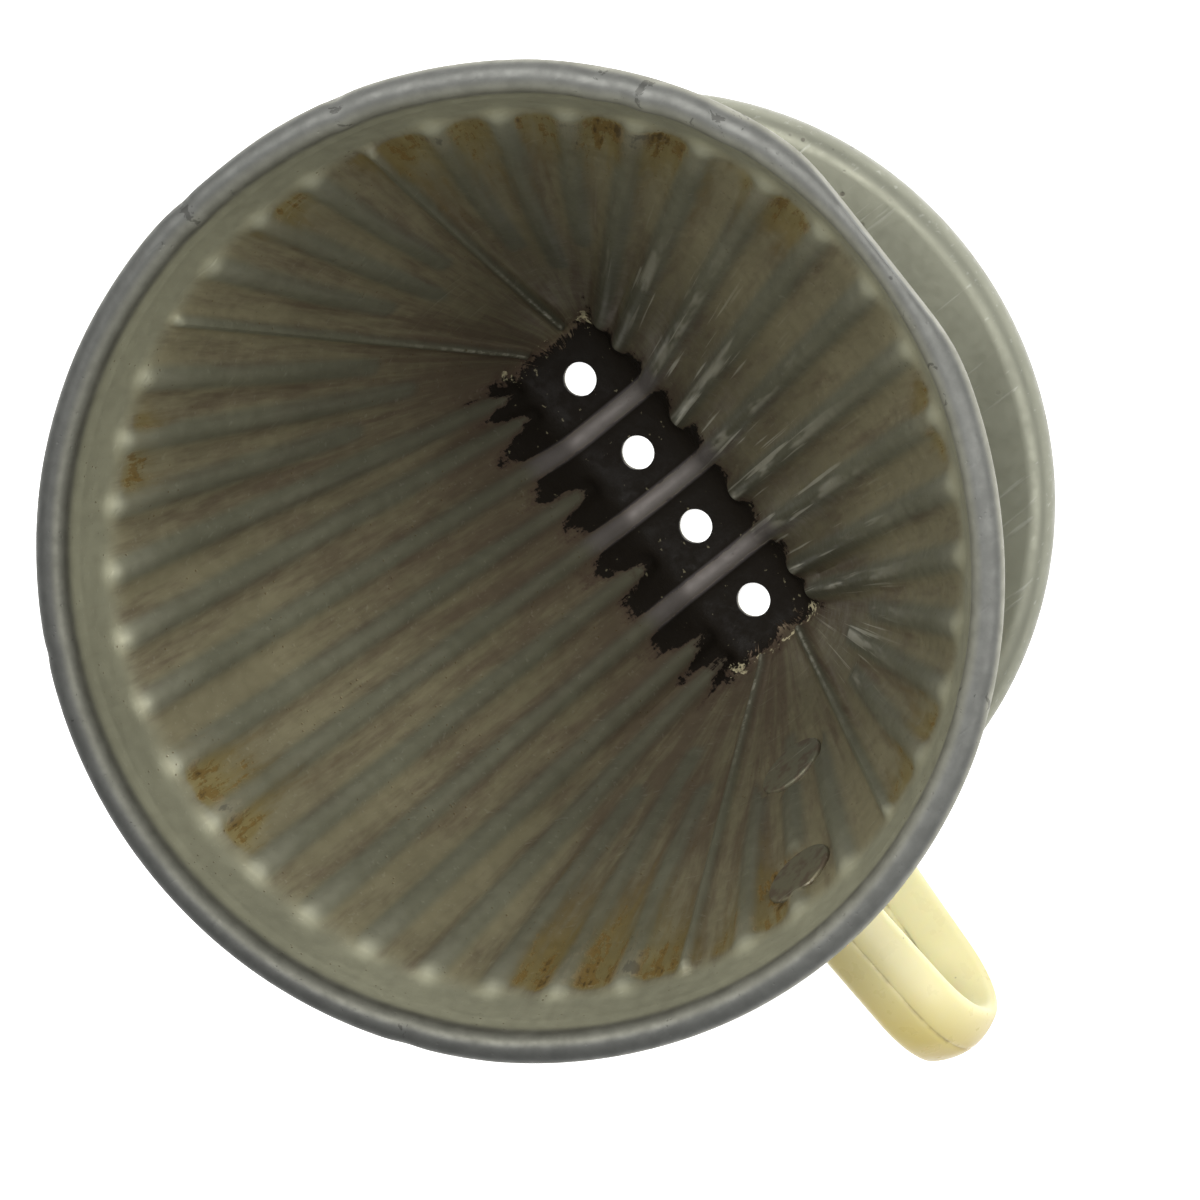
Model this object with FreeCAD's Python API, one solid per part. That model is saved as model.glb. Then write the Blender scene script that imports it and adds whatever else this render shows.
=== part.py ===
"""Wedge-bottomed pour over coffee dripper in pressed sheet with a moulded loop handle.

A round ribbed cone narrows to a trough with a row of drip holes.  Its foot is held in the
well of a round base plate, and a handle is riveted to the end wall of the cone.
Frame: +Z up, +X along the trough towards the handle, origin on the cone's axis in the
plane that the dripper stands on.  Millimetres.
"""
import os

import FreeCAD, Part
from FreeCAD import Vector
from math import atan2, cos, pi, radians, sin

# ---- driving sizes ------------------------------------------------------------------------
SHEET = 1.0                      # thickness of every pressed sheet

RIM_RADIUS = 58.0                # outside of the rolled rim
RIM_BEAD = 3.8                   # thickness of the rolled rim
RIM_HEIGHT = 79.5                # middle of the rolled rim above the rest plane
RIM_CURL_TURN = 290.0            # how far round the rim is rolled, degrees
BAND_HEIGHT = 7.4                # plain band between rim and ribs
BAND_TAPER = 1.9                 # how much narrower the cone is at the foot of that band

TROUGH_LENGTH = 50.6             # inside the foot of the wall, along X
TROUGH_WIDTH = 15.2              # inside the foot of the wall, along Y
TROUGH_CORNER = 4.0              # corner radius of the trough in plan
TROUGH_ROUNDING = 2.0            # height of the rounding between wall and floor

# The foot of the wall is drawn in on its way down to the floor: along, across, at the corner
INSIDE_FLOOR_INSET = (-1.7, -2.2, -1.4)
INSIDE_BEND_INSET = (-0.8, -1.2, -0.7)
INSIDE_BEND_RISE = 0.6           # above the floor
OUTSIDE_FLOOR_INSET = (-2.1, -3.0, -1.8)
OUTSIDE_BEND_INSET = (-0.9, -1.45, -0.8)
OUTSIDE_BEND_RISE = 0.7          # above the rest plane

HOLE_DIAMETER = 4.5
HOLE_COUNT = 4
RIB_PITCH_AT_TROUGH = 6.1        # two of these from one hole to the next

RIB_COUNT = 40
RIB_HEIGHT_TOP = 1.1             # how far a rib stands into the cone
RIB_HEIGHT_FOOT = 0.75
RIB_WIDTH_TOP = 3.6
RIB_WIDTH_FOOT = 2.7
RIB_START = 0.03                 # where a rib starts, as a share of the wall's slope
END_RIB_PITCH = 1.5              # spacing of the rib lines on the trough's short ends
SHORT_RIBS = {5: 0.59, 6: 0.73, 7: 0.60, 9: 0.48, 10: 0.57}   # share of the slope they reach
FLOOR_RIDGES = (0, 2)            # ribs that carry on across the trough floor

PLATE_RADIUS = 52.0
PLATE_SEAT_HEIGHT = 9.5          # underside of the flange above the rest plane
PLATE_SHOULDER = 3.0             # outside radius of the rounded edge
PLATE_SKIRT = 1.0                # straight part of the turned-down edge
WELL_RADIUS = 30.0               # the step that centres the dripper on a pot
WELL_FOOT_ROUNDING = 1.6
WELL_MOUTH_ROUNDING = 1.2
COLLAR_HEIGHT = 4.0              # upturned collar that grips the cone's foot
COLLAR_CLEARANCE = 0.05

HANDLE_THICKNESS = 4.6
HANDLE_WIDTH_UPPER = 9.4
HANDLE_WIDTH_LOWER = 11.0
HANDLE_REACH = 78.1              # end of the loop from the cone's axis
HANDLE_LOOP_RADIUS = 11.3        # outside radius of the loop's end
HANDLE_LOOP_HEIGHT = 49.0        # middle of the loop's end above the rest plane
UPPER_ARM_SLOPE = 11.3           # how much the upper arm falls outwards, degrees
LOWER_ARM_SLOPE = 10.2           # how much the lower arm rises outwards, degrees
HANDLE_EDGE = 1.6                # rounding of the handle's long edges
BAND_OVERRUN = 40.0              # how far the arms are drawn past the rivets before they are trimmed
BOSS_RADIUS = 5.8                # moulded boss round each fixing
BOSS_TIP_RADIUS = 4.2
BOSS_LENGTH = 8.5
BOSS_TIP_ROUNDING = 2.5

UPPER_RIVET_HEIGHT = 62.0
LOWER_RIVET_HEIGHT = 35.6
PAD_RADIUS = 5.2                 # flattened spot in the cone under each rivet head
PAD_DEPTH = 0.25
PAD_MARGIN = 0.9
RIVET_HEAD_RADIUS = 4.6
RIVET_HEAD_HEIGHT = 0.7
RIVET_HEAD_ROUNDING = 0.35
RIVET_DIAMETER = 3.5
RIVET_LENGTH = 7.5               # from the wall's inside face
RIVET_HOLE_CLEARANCE = 0.2       # on the radius, through the sheet
BUSH_RADIUS = 2.9
BUSH_LENGTH = 6.4
BUSH_SUNK = 0.3                  # below the foot face of the handle
BUSH_GROOVE = 0.35
BUSH_GROOVE_WIDTH = 1.0
FIT_CLEARANCE = 0.05             # on the radius, rivet in bush and bush in handle

OVERCUT = 5.0                    # how far a cutting shape runs past what it cuts

# ---- worked out ---------------------------------------------------------------------------
BEAD_RADIUS = RIM_BEAD / 2
BEAD_CENTRE = RIM_RADIUS - BEAD_RADIUS
MOUTH_RADIUS = BEAD_CENTRE - BEAD_RADIUS
BAND_FOOT_RADIUS = MOUTH_RADIUS - BAND_TAPER
BAND_FOOT_HEIGHT = RIM_HEIGHT - BAND_HEIGHT
WALL_FOOT_HEIGHT = SHEET + TROUGH_ROUNDING
HALF_LENGTH = TROUGH_LENGTH / 2
HALF_WIDTH = TROUGH_WIDTH / 2
LONG_STRAIGHT = HALF_LENGTH - TROUGH_CORNER
SHORT_STRAIGHT = HALF_WIDTH - TROUGH_CORNER
RIB_STEP = 360.0 / RIB_COUNT
QUARTER_RIBS = RIB_COUNT // 4
LONG_BREAK = LONG_STRAIGHT / RIB_PITCH_AT_TROUGH                # in ribs from the Y axis
SHORT_BREAK = QUARTER_RIBS - SHORT_STRAIGHT / END_RIB_PITCH
WALL_SLOPE = atan2(BAND_FOOT_RADIUS - HALF_LENGTH, BAND_FOOT_HEIGHT - WALL_FOOT_HEIGHT)
FACE_SLOPE = atan2(BAND_FOOT_RADIUS - HALF_WIDTH, BAND_FOOT_HEIGHT - WALL_FOOT_HEIGHT)
END_OUTSET = SHEET / cos(WALL_SLOPE)      # horizontal thickness of the end wall
FACE_OUTSET = SHEET / cos(FACE_SLOPE)     # horizontal thickness of the long wall
RIVET_AXIS = Vector(cos(WALL_SLOPE), 0, -sin(WALL_SLOPE))
FOOT_FACE = PAD_DEPTH + SHEET             # the handle's feet, from the wall's inside face
UP = Vector(0, 0, 1)


def polar(radius, angle, height):
    return Vector(radius * cos(radians(angle)), radius * sin(radians(angle)), height)


def break_angles():
    """The eight angles at which the round mouth is matched to the trough's corners."""
    short = 90 - SHORT_BREAK * RIB_STEP
    long = 90 - LONG_BREAK * RIB_STEP
    quarter = [short, long, 180 - long, 180 - short]
    return [-short] + quarter + [a + 180 for a in quarter[:3]]


def round_section(radius, height):
    angles = break_angles() + [break_angles()[0] + 360]
    edges = []
    for start, end in zip(angles[:-1], angles[1:]):
        points = [polar(radius, a, height) for a in (start, (start + end) / 2, end)]
        edges.append(Part.Arc(*points).toShape())
    return Part.Wire(edges)


def trough_section(height, along=0.0, across=0.0, corner=0.0):
    """A rounded rectangle, larger than the inside foot of the wall by the three outsets."""
    length, width = HALF_LENGTH + along, HALF_WIDTH + across
    radius = TROUGH_CORNER + corner
    edges = []
    corners = [(1, 1), (-1, 1), (-1, -1), (1, -1)]
    start = Vector(length, -(width - radius), height)
    for index, (sx, sy) in enumerate(corners):
        centre = Vector(sx * (length - radius), sy * (width - radius), height)
        arc = [centre + polar(radius, 90 * index + turn, 0) for turn in (0, 45, 90)]
        edges.append(Part.LineSegment(start, arc[0]).toShape())
        edges.append(Part.Arc(*arc).toShape())
        start = arc[2]
    return Part.Wire(edges)


def wall_line(rib):
    """Top and foot of a rib line on the inner wall, and the wall's outward normals there.

    rib counts from the Y axis in the first quarter and need not be whole.
    """
    angle = 90 - rib * RIB_STEP
    top = polar(BAND_FOOT_RADIUS, angle, BAND_FOOT_HEIGHT)
    top_along = Vector(-sin(radians(angle)), cos(radians(angle)), 0)
    if rib <= LONG_BREAK:
        foot = Vector(rib * RIB_PITCH_AT_TROUGH, HALF_WIDTH, WALL_FOOT_HEIGHT)
        foot_along = Vector(-1, 0, 0)
    elif rib >= SHORT_BREAK:
        foot = Vector(HALF_LENGTH, (QUARTER_RIBS - rib) * END_RIB_PITCH, WALL_FOOT_HEIGHT)
        foot_along = Vector(0, 1, 0)
    else:
        turn = 90 * (1 - (rib - LONG_BREAK) / (SHORT_BREAK - LONG_BREAK))
        foot = Vector(LONG_STRAIGHT, SHORT_STRAIGHT, WALL_FOOT_HEIGHT)
        foot = foot + polar(TROUGH_CORNER, turn, 0)
        foot_along = Vector(-sin(radians(turn)), cos(radians(turn)), 0)
    slope = top - foot
    normals = []
    for along in (top_along, foot_along):
        normal = along.cross(slope)
        normals.append(normal.normalize())
    return top, foot, normals[0], normals[1]


def rib_round(height, width):
    """Radius of the rib's round section, and how far behind the wall its middle lies."""
    radius = (width * width / 4 + height * height) / (2 * height)
    return radius, radius - height


def rod(start, end, start_radius, end_radius):
    """A straight tapering rod with ball ends."""
    reach = end - start
    if start_radius == end_radius:
        body = Part.makeCylinder(start_radius, reach.Length, start, reach)
    else:
        body = Part.makeCone(start_radius, end_radius, reach.Length, start, reach)
    balls = [Part.makeSphere(start_radius, start), Part.makeSphere(end_radius, end)]
    return body.multiFuse(balls)


def rib_rod(rib, thinner):
    """The rod whose front makes a rib, or, made thinner by a sheet, the groove behind it."""
    top, foot, top_normal, foot_normal = wall_line(rib)
    top_radius, top_depth = rib_round(RIB_HEIGHT_TOP, RIB_WIDTH_TOP)
    foot_radius, foot_depth = rib_round(RIB_HEIGHT_FOOT, RIB_WIDTH_FOOT)
    top = top + top_normal * top_depth
    foot = foot + foot_normal * foot_depth
    reach = SHORT_RIBS.get(rib, 1.0)
    start = top + (foot - top) * RIB_START
    end = top + (foot - top) * reach
    end_radius = top_radius + (foot_radius - top_radius) * reach
    return rod(start, end, top_radius - thinner, end_radius - thinner)


def ridge_rod(rib, thinner):
    """The rod that carries a pair of facing ribs down and across the trough floor."""
    radius, depth = rib_round(RIB_HEIGHT_FOOT, RIB_WIDTH_FOOT)
    foot, normal = wall_line(rib)[1], wall_line(rib)[3]
    upper = foot + normal * depth
    lower = Vector(foot.x, HALF_WIDTH - TROUGH_ROUNDING, SHEET - depth)
    radius = radius - thinner
    corner = rod(upper, lower, radius, radius)
    across = rod(lower, Vector(lower.x, 0, lower.z), radius, radius)
    return corner.fuse(across)


def mirrored(shape, flip_x, flip_y):
    if flip_x:
        shape = shape.mirror(Vector(0, 0, 0), Vector(1, 0, 0))
    if flip_y:
        shape = shape.mirror(Vector(0, 0, 0), Vector(0, 1, 0))
    return shape


def all_ribs(thinner):
    rods = []
    for rib in range(QUARTER_RIBS + 1):
        quarter = [rib_rod(rib, thinner)]
        if rib in FLOOR_RIDGES:
            quarter.append(ridge_rod(rib, thinner))
        for flip_x in ((False,) if rib == 0 else (False, True)):
            for flip_y in ((False,) if rib == QUARTER_RIBS else (False, True)):
                rods += [mirrored(shape, flip_x, flip_y) for shape in quarter]
    return rods


def inner_space():
    floor = trough_section(SHEET, *INSIDE_FLOOR_INSET)
    bend = trough_section(SHEET + INSIDE_BEND_RISE, *INSIDE_BEND_INSET)
    above = round_section(MOUTH_RADIUS, RIM_HEIGHT + RIM_BEAD)
    sections = [floor, bend, trough_section(WALL_FOOT_HEIGHT),
                round_section(BAND_FOOT_RADIUS, BAND_FOOT_HEIGHT),
                round_section(MOUTH_RADIUS, RIM_HEIGHT), above]
    return Part.makeLoft(sections, True, True)


def outer_form(extra=0.0):
    """The outside of the cone's wall, or that outside grown by extra."""
    along, across = END_OUTSET + extra, FACE_OUTSET + extra
    outset = (along, across, (along + across) / 2)
    floor = [out + inset for out, inset in zip(outset, OUTSIDE_FLOOR_INSET)]
    bend = [out + inset for out, inset in zip(outset, OUTSIDE_BEND_INSET)]
    band = BAND_FOOT_RADIUS + outset[2]
    sections = [trough_section(0, *floor), trough_section(OUTSIDE_BEND_RISE, *bend),
                trough_section(WALL_FOOT_HEIGHT, *outset),
                round_section(band, BAND_FOOT_HEIGHT),
                round_section(MOUTH_RADIUS + SHEET + extra, RIM_HEIGHT)]
    return Part.makeLoft(sections, True, True)


def rolled_rim():
    outer, inner = BEAD_RADIUS, BEAD_RADIUS - SHEET
    centre = Vector(BEAD_CENTRE, 0, RIM_HEIGHT)

    def at(radius, turn):
        angle = radians(180 - turn)
        return centre + Vector(radius * cos(angle), 0, radius * sin(angle))

    half = RIM_CURL_TURN / 2
    edges = [Part.Arc(at(outer, 0), at(outer, half), at(outer, RIM_CURL_TURN)).toShape(),
             Part.LineSegment(at(outer, RIM_CURL_TURN), at(inner, RIM_CURL_TURN)).toShape(),
             Part.Arc(at(inner, RIM_CURL_TURN), at(inner, half), at(inner, 0)).toShape(),
             Part.LineSegment(at(inner, 0), at(outer, 0)).toShape()]
    section = Part.Face(Part.Wire(edges))
    return section.revolve(Vector(0, 0, 0), UP, 360)


def rivet_point(height):
    """Where a rivet's axis meets the inside face of the end wall."""
    share = (BAND_FOOT_HEIGHT - height) / (BAND_FOOT_HEIGHT - WALL_FOOT_HEIGHT)
    return Vector(BAND_FOOT_RADIUS + (HALF_LENGTH - BAND_FOOT_RADIUS) * share, 0, height)


RIVET_POINTS = {"upper": rivet_point(UPPER_RIVET_HEIGHT), "lower": rivet_point(LOWER_RIVET_HEIGHT)}


def along_rivet(point, start, length, radius):
    """A cylinder on a rivet's axis, from start beyond the wall's inside face."""
    return Part.makeCylinder(radius, length, point + RIVET_AXIS * start, RIVET_AXIS)


def less_each(shape, tools):
    """Cuts the tools away one at a time, because neighbouring ribs run into each other."""
    for tool in tools:
        shape = shape.cut(tool)
    return shape


def filter_cone():
    space = less_each(inner_space(), all_ribs(0.0))
    shell = less_each(outer_form().cut(space), all_ribs(SHEET))
    shell = shell.fuse(rolled_rim())
    for point in RIVET_POINTS.values():
        spot = along_rivet(point, PAD_DEPTH - OVERCUT, OVERCUT, PAD_RADIUS)
        backing = along_rivet(point, PAD_DEPTH, SHEET, PAD_RADIUS + PAD_MARGIN)
        bore_radius = RIVET_DIAMETER / 2 + RIVET_HOLE_CLEARANCE
        bore = along_rivet(point, -OVERCUT, 2 * OVERCUT, bore_radius)
        shell = shell.cut(spot).fuse(backing).cut(bore)
    for index in range(HOLE_COUNT):
        x = (2 * index - (HOLE_COUNT - 1)) * RIB_PITCH_AT_TROUGH
        below = Vector(x, 0, -OVERCUT)
        shell = shell.cut(Part.makeCylinder(HOLE_DIAMETER / 2, 2 * OVERCUT, below))
    return shell


def revolved(points):
    """A ring from a closed outline of (radius, height, rounding) corners."""
    count = len(points)
    corners = [Vector(r, 0, z) for r, z, _ in points]
    edges = []
    ends = []
    for index, (_, _, rounding) in enumerate(points):
        here = corners[index]
        before = (corners[index - 1] - here).normalize()
        after = (corners[(index + 1) % count] - here).normalize()
        if rounding == 0:
            ends.append((here, here))
            continue
        half = before.getAngle(after) / 2
        cut = rounding / (sin(half) / cos(half))
        middle = (before + after).normalize()
        centre = here + middle * (rounding / sin(half))
        arc = Part.Arc(here + before * cut, centre - middle * rounding, here + after * cut)
        edges.append(arc.toShape())
        ends.append((here + before * cut, here + after * cut))
    for index in range(count):
        start, end = ends[index][1], ends[(index + 1) % count][0]
        edges.append(Part.LineSegment(start, end).toShape())
    wire = Part.Wire(Part.__sortEdges__(edges))
    return Part.Face(wire).revolve(Vector(0, 0, 0), UP, 360)


def base_plate():
    seat, top = PLATE_SEAT_HEIGHT, PLATE_SEAT_HEIGHT + SHEET
    edge = top - PLATE_SHOULDER - PLATE_SKIRT
    inside = WELL_RADIUS - SHEET
    outline = [(0.0, 0.0, 0), (WELL_RADIUS, 0.0, WELL_FOOT_ROUNDING), (WELL_RADIUS, seat, 0),
               (PLATE_RADIUS - SHEET, seat, PLATE_SHOULDER - SHEET),
               (PLATE_RADIUS - SHEET, edge, 0), (PLATE_RADIUS, edge, 0),
               (PLATE_RADIUS, top, PLATE_SHOULDER), (inside, top, WELL_MOUTH_ROUNDING),
               (inside, SHEET, WELL_FOOT_ROUNDING - SHEET), (0.0, SHEET, 0)]
    plate = revolved(outline)
    block = Part.makeBox(2 * WELL_RADIUS, 2 * WELL_RADIUS, SHEET + COLLAR_HEIGHT,
                         Vector(-WELL_RADIUS, -WELL_RADIUS, 0))
    collar = outer_form(COLLAR_CLEARANCE + SHEET).common(block)
    return plate.fuse(collar).cut(outer_form(COLLAR_CLEARANCE))


def arm_lines():
    """Middle of the loop's end, and the directions in which the two arms leave it."""
    centre = Vector(HANDLE_REACH - HANDLE_LOOP_RADIUS, 0, HANDLE_LOOP_HEIGHT)
    upper = Vector(-cos(radians(UPPER_ARM_SLOPE)), 0, sin(radians(UPPER_ARM_SLOPE)))
    lower = Vector(-cos(radians(LOWER_ARM_SLOPE)), 0, -sin(radians(LOWER_ARM_SLOPE)))
    return centre, upper, lower


def loop_face(radius, reach):
    """The loop's side outline, filled: two straight arms joined by a round end."""
    centre, upper, lower = arm_lines()
    upper_side = Vector(-upper.z, 0, upper.x) * -radius
    lower_side = Vector(lower.z, 0, -lower.x) * -radius
    start, end = centre + upper_side, centre + lower_side
    arc = Part.Arc(start, centre + Vector(radius, 0, 0), end).toShape()
    far_upper, far_lower = start + upper * reach, end + lower * reach
    edges = [Part.LineSegment(far_upper, start).toShape(), arc,
             Part.LineSegment(end, far_lower).toShape(),
             Part.LineSegment(far_lower, far_upper).toShape()]
    return Part.Face(Part.Wire(edges))


def arm_envelope():
    """The tapering width of the two arms, as a slab that runs out past the loop."""
    low, high = LOWER_RIVET_HEIGHT, UPPER_RIVET_HEIGHT
    flare = (HANDLE_WIDTH_LOWER - HANDLE_WIDTH_UPPER) / (2 * (high - low))
    bottom, top = low - BAND_OVERRUN, high + BAND_OVERRUN
    wide = HANDLE_WIDTH_LOWER / 2 + flare * BAND_OVERRUN
    narrow = HANDLE_WIDTH_UPPER / 2 - flare * BAND_OVERRUN
    sides = [Vector(0, -wide, bottom), Vector(0, wide, bottom),
             Vector(0, narrow, top), Vector(0, -narrow, top), Vector(0, -wide, bottom)]
    return Part.Face(Part.makePolygon(sides)).extrude(Vector(2 * HANDLE_REACH, 0, 0))


def beyond_feet():
    """Everything beyond the plane that the handle's feet press against."""
    reach = 4 * HANDLE_REACH
    return along_rivet(RIVET_POINTS["upper"], FOOT_FACE, reach, reach)


def is_long_edge(edge):
    """True for the edges of the band that run along it, at either side."""
    middle = edge.valueAt((edge.FirstParameter + edge.LastParameter) / 2)
    from_foot = (middle - RIVET_POINTS["upper"]).dot(RIVET_AXIS) - FOOT_FACE
    return abs(middle.y) > HANDLE_WIDTH_UPPER / 4 and from_foot > FIT_CLEARANCE


def boss(point):
    """The round foot moulded about a fixing, with its tip rounded off into the arm."""
    foot = point + RIVET_AXIS * FOOT_FACE
    cone = Part.makeCone(BOSS_RADIUS, BOSS_TIP_RADIUS, BOSS_LENGTH, foot, RIVET_AXIS)
    rims = [edge for edge in cone.Edges if edge.Length > pi * BOSS_TIP_RADIUS and edge.Closed]
    tip = min(rims, key=lambda edge: edge.Length)
    return cone.makeFillet(BOSS_TIP_ROUNDING, [tip])


def handle():
    width = 2 * HANDLE_WIDTH_LOWER
    outside = loop_face(HANDLE_LOOP_RADIUS, HANDLE_REACH)
    inside = loop_face(HANDLE_LOOP_RADIUS - HANDLE_THICKNESS, 1.5 * HANDLE_REACH)
    band = outside.cut(inside).extrude(Vector(0, width, 0))
    band.translate(Vector(0, -width / 2, 0))
    band = band.common(arm_envelope()).common(beyond_feet())
    band = band.makeFillet(HANDLE_EDGE, [edge for edge in band.Edges if is_long_edge(edge)])
    band = band.fuse([boss(point) for point in RIVET_POINTS.values()])
    pocket = BUSH_LENGTH + BUSH_SUNK + FIT_CLEARANCE
    for point in RIVET_POINTS.values():
        start = FOOT_FACE - OVERCUT
        band = band.cut(along_rivet(point, start, pocket + OVERCUT, BUSH_RADIUS + FIT_CLEARANCE))
    return band


def rivet(point):
    head = along_rivet(point, PAD_DEPTH - RIVET_HEAD_HEIGHT, RIVET_HEAD_HEIGHT, RIVET_HEAD_RADIUS)
    rims = [e for e in head.Edges if (e.CenterOfMass - point).dot(RIVET_AXIS) < 0 and e.Closed]
    head = head.makeFillet(RIVET_HEAD_ROUNDING, rims)
    shank = along_rivet(point, 0, RIVET_LENGTH, RIVET_DIAMETER / 2)
    return head.fuse(shank)


def bush(point):
    start = FOOT_FACE + BUSH_SUNK
    body = along_rivet(point, start, BUSH_LENGTH, BUSH_RADIUS)
    groove_start = start + (BUSH_LENGTH - BUSH_GROOVE_WIDTH) / 2
    ring = along_rivet(point, groove_start, BUSH_GROOVE_WIDTH, BUSH_RADIUS + OVERCUT)
    core = along_rivet(point, groove_start, BUSH_GROOVE_WIDTH, BUSH_RADIUS - BUSH_GROOVE)
    bore_start, bore_length = start - OVERCUT, BUSH_LENGTH + 2 * OVERCUT
    bore = along_rivet(point, bore_start, bore_length, RIVET_DIAMETER / 2 + FIT_CLEARANCE)
    return body.cut(ring.cut(core)).cut(bore)


def write(name, shape):
    if len(shape.Solids) == 1:
        shape = shape.Solids[0]
    shape.exportStep("parts/" + name + ".step")
    print(name, "solids", len(shape.Solids), "valid", shape.isValid(), "volume", round(shape.Volume, 1))


def main():
    os.makedirs("parts", exist_ok=True)
    write("filter_cone", filter_cone())
    write("base_plate", base_plate())
    write("handle", handle())
    for place, point in RIVET_POINTS.items():
        write(place + "_rivet", rivet(point))
        write(place + "_bush", bush(point))


main()
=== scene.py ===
"""Pour over dripper: a ribbed, coffee-stained aluminium cone on a round plate, with an ivory handle.

Laid out as an add-on.  Each piece has an operator of its own, the sizes and colours are in
property groups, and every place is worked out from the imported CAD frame.
"""
from contextlib import contextmanager
from math import acos, atan2, cos, degrees, pi, radians, sin, sqrt

import bmesh
import bpy
import numpy as np
from bpy.props import FloatProperty, FloatVectorProperty, IntProperty, PointerProperty
from mathutils import Matrix, Vector, noise
from mathutils.kdtree import KDTree


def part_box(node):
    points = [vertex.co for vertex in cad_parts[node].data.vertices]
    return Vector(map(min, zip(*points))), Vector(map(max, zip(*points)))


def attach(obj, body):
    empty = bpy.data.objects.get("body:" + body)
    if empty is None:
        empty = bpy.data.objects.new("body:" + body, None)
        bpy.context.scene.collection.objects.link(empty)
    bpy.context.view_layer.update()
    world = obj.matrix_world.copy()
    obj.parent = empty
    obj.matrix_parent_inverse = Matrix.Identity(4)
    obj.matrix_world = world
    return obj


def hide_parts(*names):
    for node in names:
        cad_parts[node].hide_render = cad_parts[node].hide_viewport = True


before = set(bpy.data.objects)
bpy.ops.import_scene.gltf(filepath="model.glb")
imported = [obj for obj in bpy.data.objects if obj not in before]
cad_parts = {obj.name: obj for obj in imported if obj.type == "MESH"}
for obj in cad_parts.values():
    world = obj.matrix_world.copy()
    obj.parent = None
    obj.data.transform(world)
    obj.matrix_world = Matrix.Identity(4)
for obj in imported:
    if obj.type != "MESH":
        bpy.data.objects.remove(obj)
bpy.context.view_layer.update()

bl_info = {
    "name": "Ribbed Coffee Dripper",
    "version": (1, 0, 0),
    "blender": (4, 5, 0),
    "location": "View3D > Sidebar > Dripper",
    "description": "Builds an aged aluminium coffee dripper with a moulded loop handle",
    "category": "Add Mesh",
}

MM = 0.001
CONE_HIGH, PLATE_HIGH, HANDLE_HIGH = (
    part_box(node)[1] for node in ("filter_cone", "base_plate", "handle"))


# ---- sizes and colours a user would change --------------------------------------------------
def length(name, text, default):
    return FloatProperty(name=name, description=text, default=default, unit="LENGTH", precision=5)


def colour(name, text, default):
    return FloatVectorProperty(name=name, description=text, default=default, size=3,
                               subtype="COLOR", min=0.0, max=1.0)


class ConeSettings(bpy.types.PropertyGroup):
    rim_radius: length("Rim radius", "Outside radius of the rolled rim", CONE_HIGH.y)
    rim_top: length("Rim top", "Height of the top of the rolled rim", CONE_HIGH.z)
    bead: length("Rim bead", "Thickness of the rolled rim", 3.8 * MM)
    sheet: length("Sheet", "Thickness of the pressed sheet", 1.0 * MM)
    band: length("Plain band", "Height of the plain band over the ribs", 7.4 * MM)
    band_taper: length("Band taper", "How much the band narrows downwards", 1.9 * MM)
    trough_length: length("Trough length", "Inside the foot of the wall", 50.6 * MM)
    trough_width: length("Trough width", "Inside the foot of the wall", 15.2 * MM)
    trough_corner: length("Trough corner", "Corner radius of the trough in plan", 4.0 * MM)
    rib_height: length("Rib height", "How far a rib stands out near the rim", 1.15 * MM)
    rib_height_foot: length("Rib height at foot", "How far it stands out low down", 0.9 * MM)
    rib_width: length("Rib width", "From foot to foot of a rib's bulge, near the rim", 6.4 * MM)
    rib_width_foot: length("Rib width at foot", "The same, low down", 4.7 * MM)
    hole: length("Drip hole", "Diameter of a drip hole", 4.5 * MM)
    rib_count: IntProperty(name="Ribs", description="Ribs round the cone", default=40)
    rib_pitch: length("Rib pitch", "Spacing of the ribs along the trough", 6.1 * MM)
    crest: colour("Crest", "Metal on the ribs", (0.146, 0.144, 0.101))
    valley: colour("Valley", "Metal between the ribs", (0.192, 0.172, 0.107))
    brown: colour("Coffee brown", "Old coffee film", (0.088, 0.052, 0.013))
    amber: colour("Coffee amber", "Thin coffee film", (0.262, 0.200, 0.050))
    tar: colour("Tar", "Burnt-on coffee round the holes", (0.010, 0.008, 0.006))
    film: colour("Film", "Thin red-brown film near the trough", (0.094, 0.062, 0.047))
    lime: colour("Limescale", "Pale crust at the ends of the trough", (0.480, 0.430, 0.270))
    plain: colour("Band", "Metal of the plain band", (0.223, 0.218, 0.156))
    ridge: colour("Ridges", "Bare ridges across the trough", (0.185, 0.165, 0.165))
    # bright metal for hairlines and for painted highlights on the ribs
    bright: colour("Bright metal", "Worn edges and painted highlights", (0.560, 0.545, 0.440))
    # painted reflection on the rolled rim: lighter on its sides, darker on its top
    bead_side_reflection: colour("Bead, sides", "Rolled rim, lighter on its sides as painted reflection", (0.208, 0.204, 0.168))
    bead_top_reflection: colour("Bead, top", "Rolled rim, darker on its top as painted reflection", (0.124, 0.124, 0.114))


class PlateSettings(bpy.types.PropertyGroup):
    radius: length("Plate radius", "Outside radius of the plate", PLATE_HIGH.y)
    seat: length("Seat height", "Underside of the flange", 9.5 * MM)
    shoulder: length("Shoulder", "Outside radius of the rounded edge", 3.0 * MM)
    skirt: length("Skirt", "Straight part of the turned-down edge", 1.0 * MM)
    well: length("Well radius", "Outside of the centring step", 30.0 * MM)
    collar: length("Collar", "Height of the collar round the cone's foot", 4.0 * MM)
    metal: colour("Plate metal", "Dull grey-green aluminium", (0.250, 0.250, 0.192))
    scratch: colour("Scratches", "Bright hairlines", (0.62, 0.63, 0.58))
    dirt: colour("Dirt", "Specks of dirt", (0.10, 0.09, 0.07))


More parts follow.
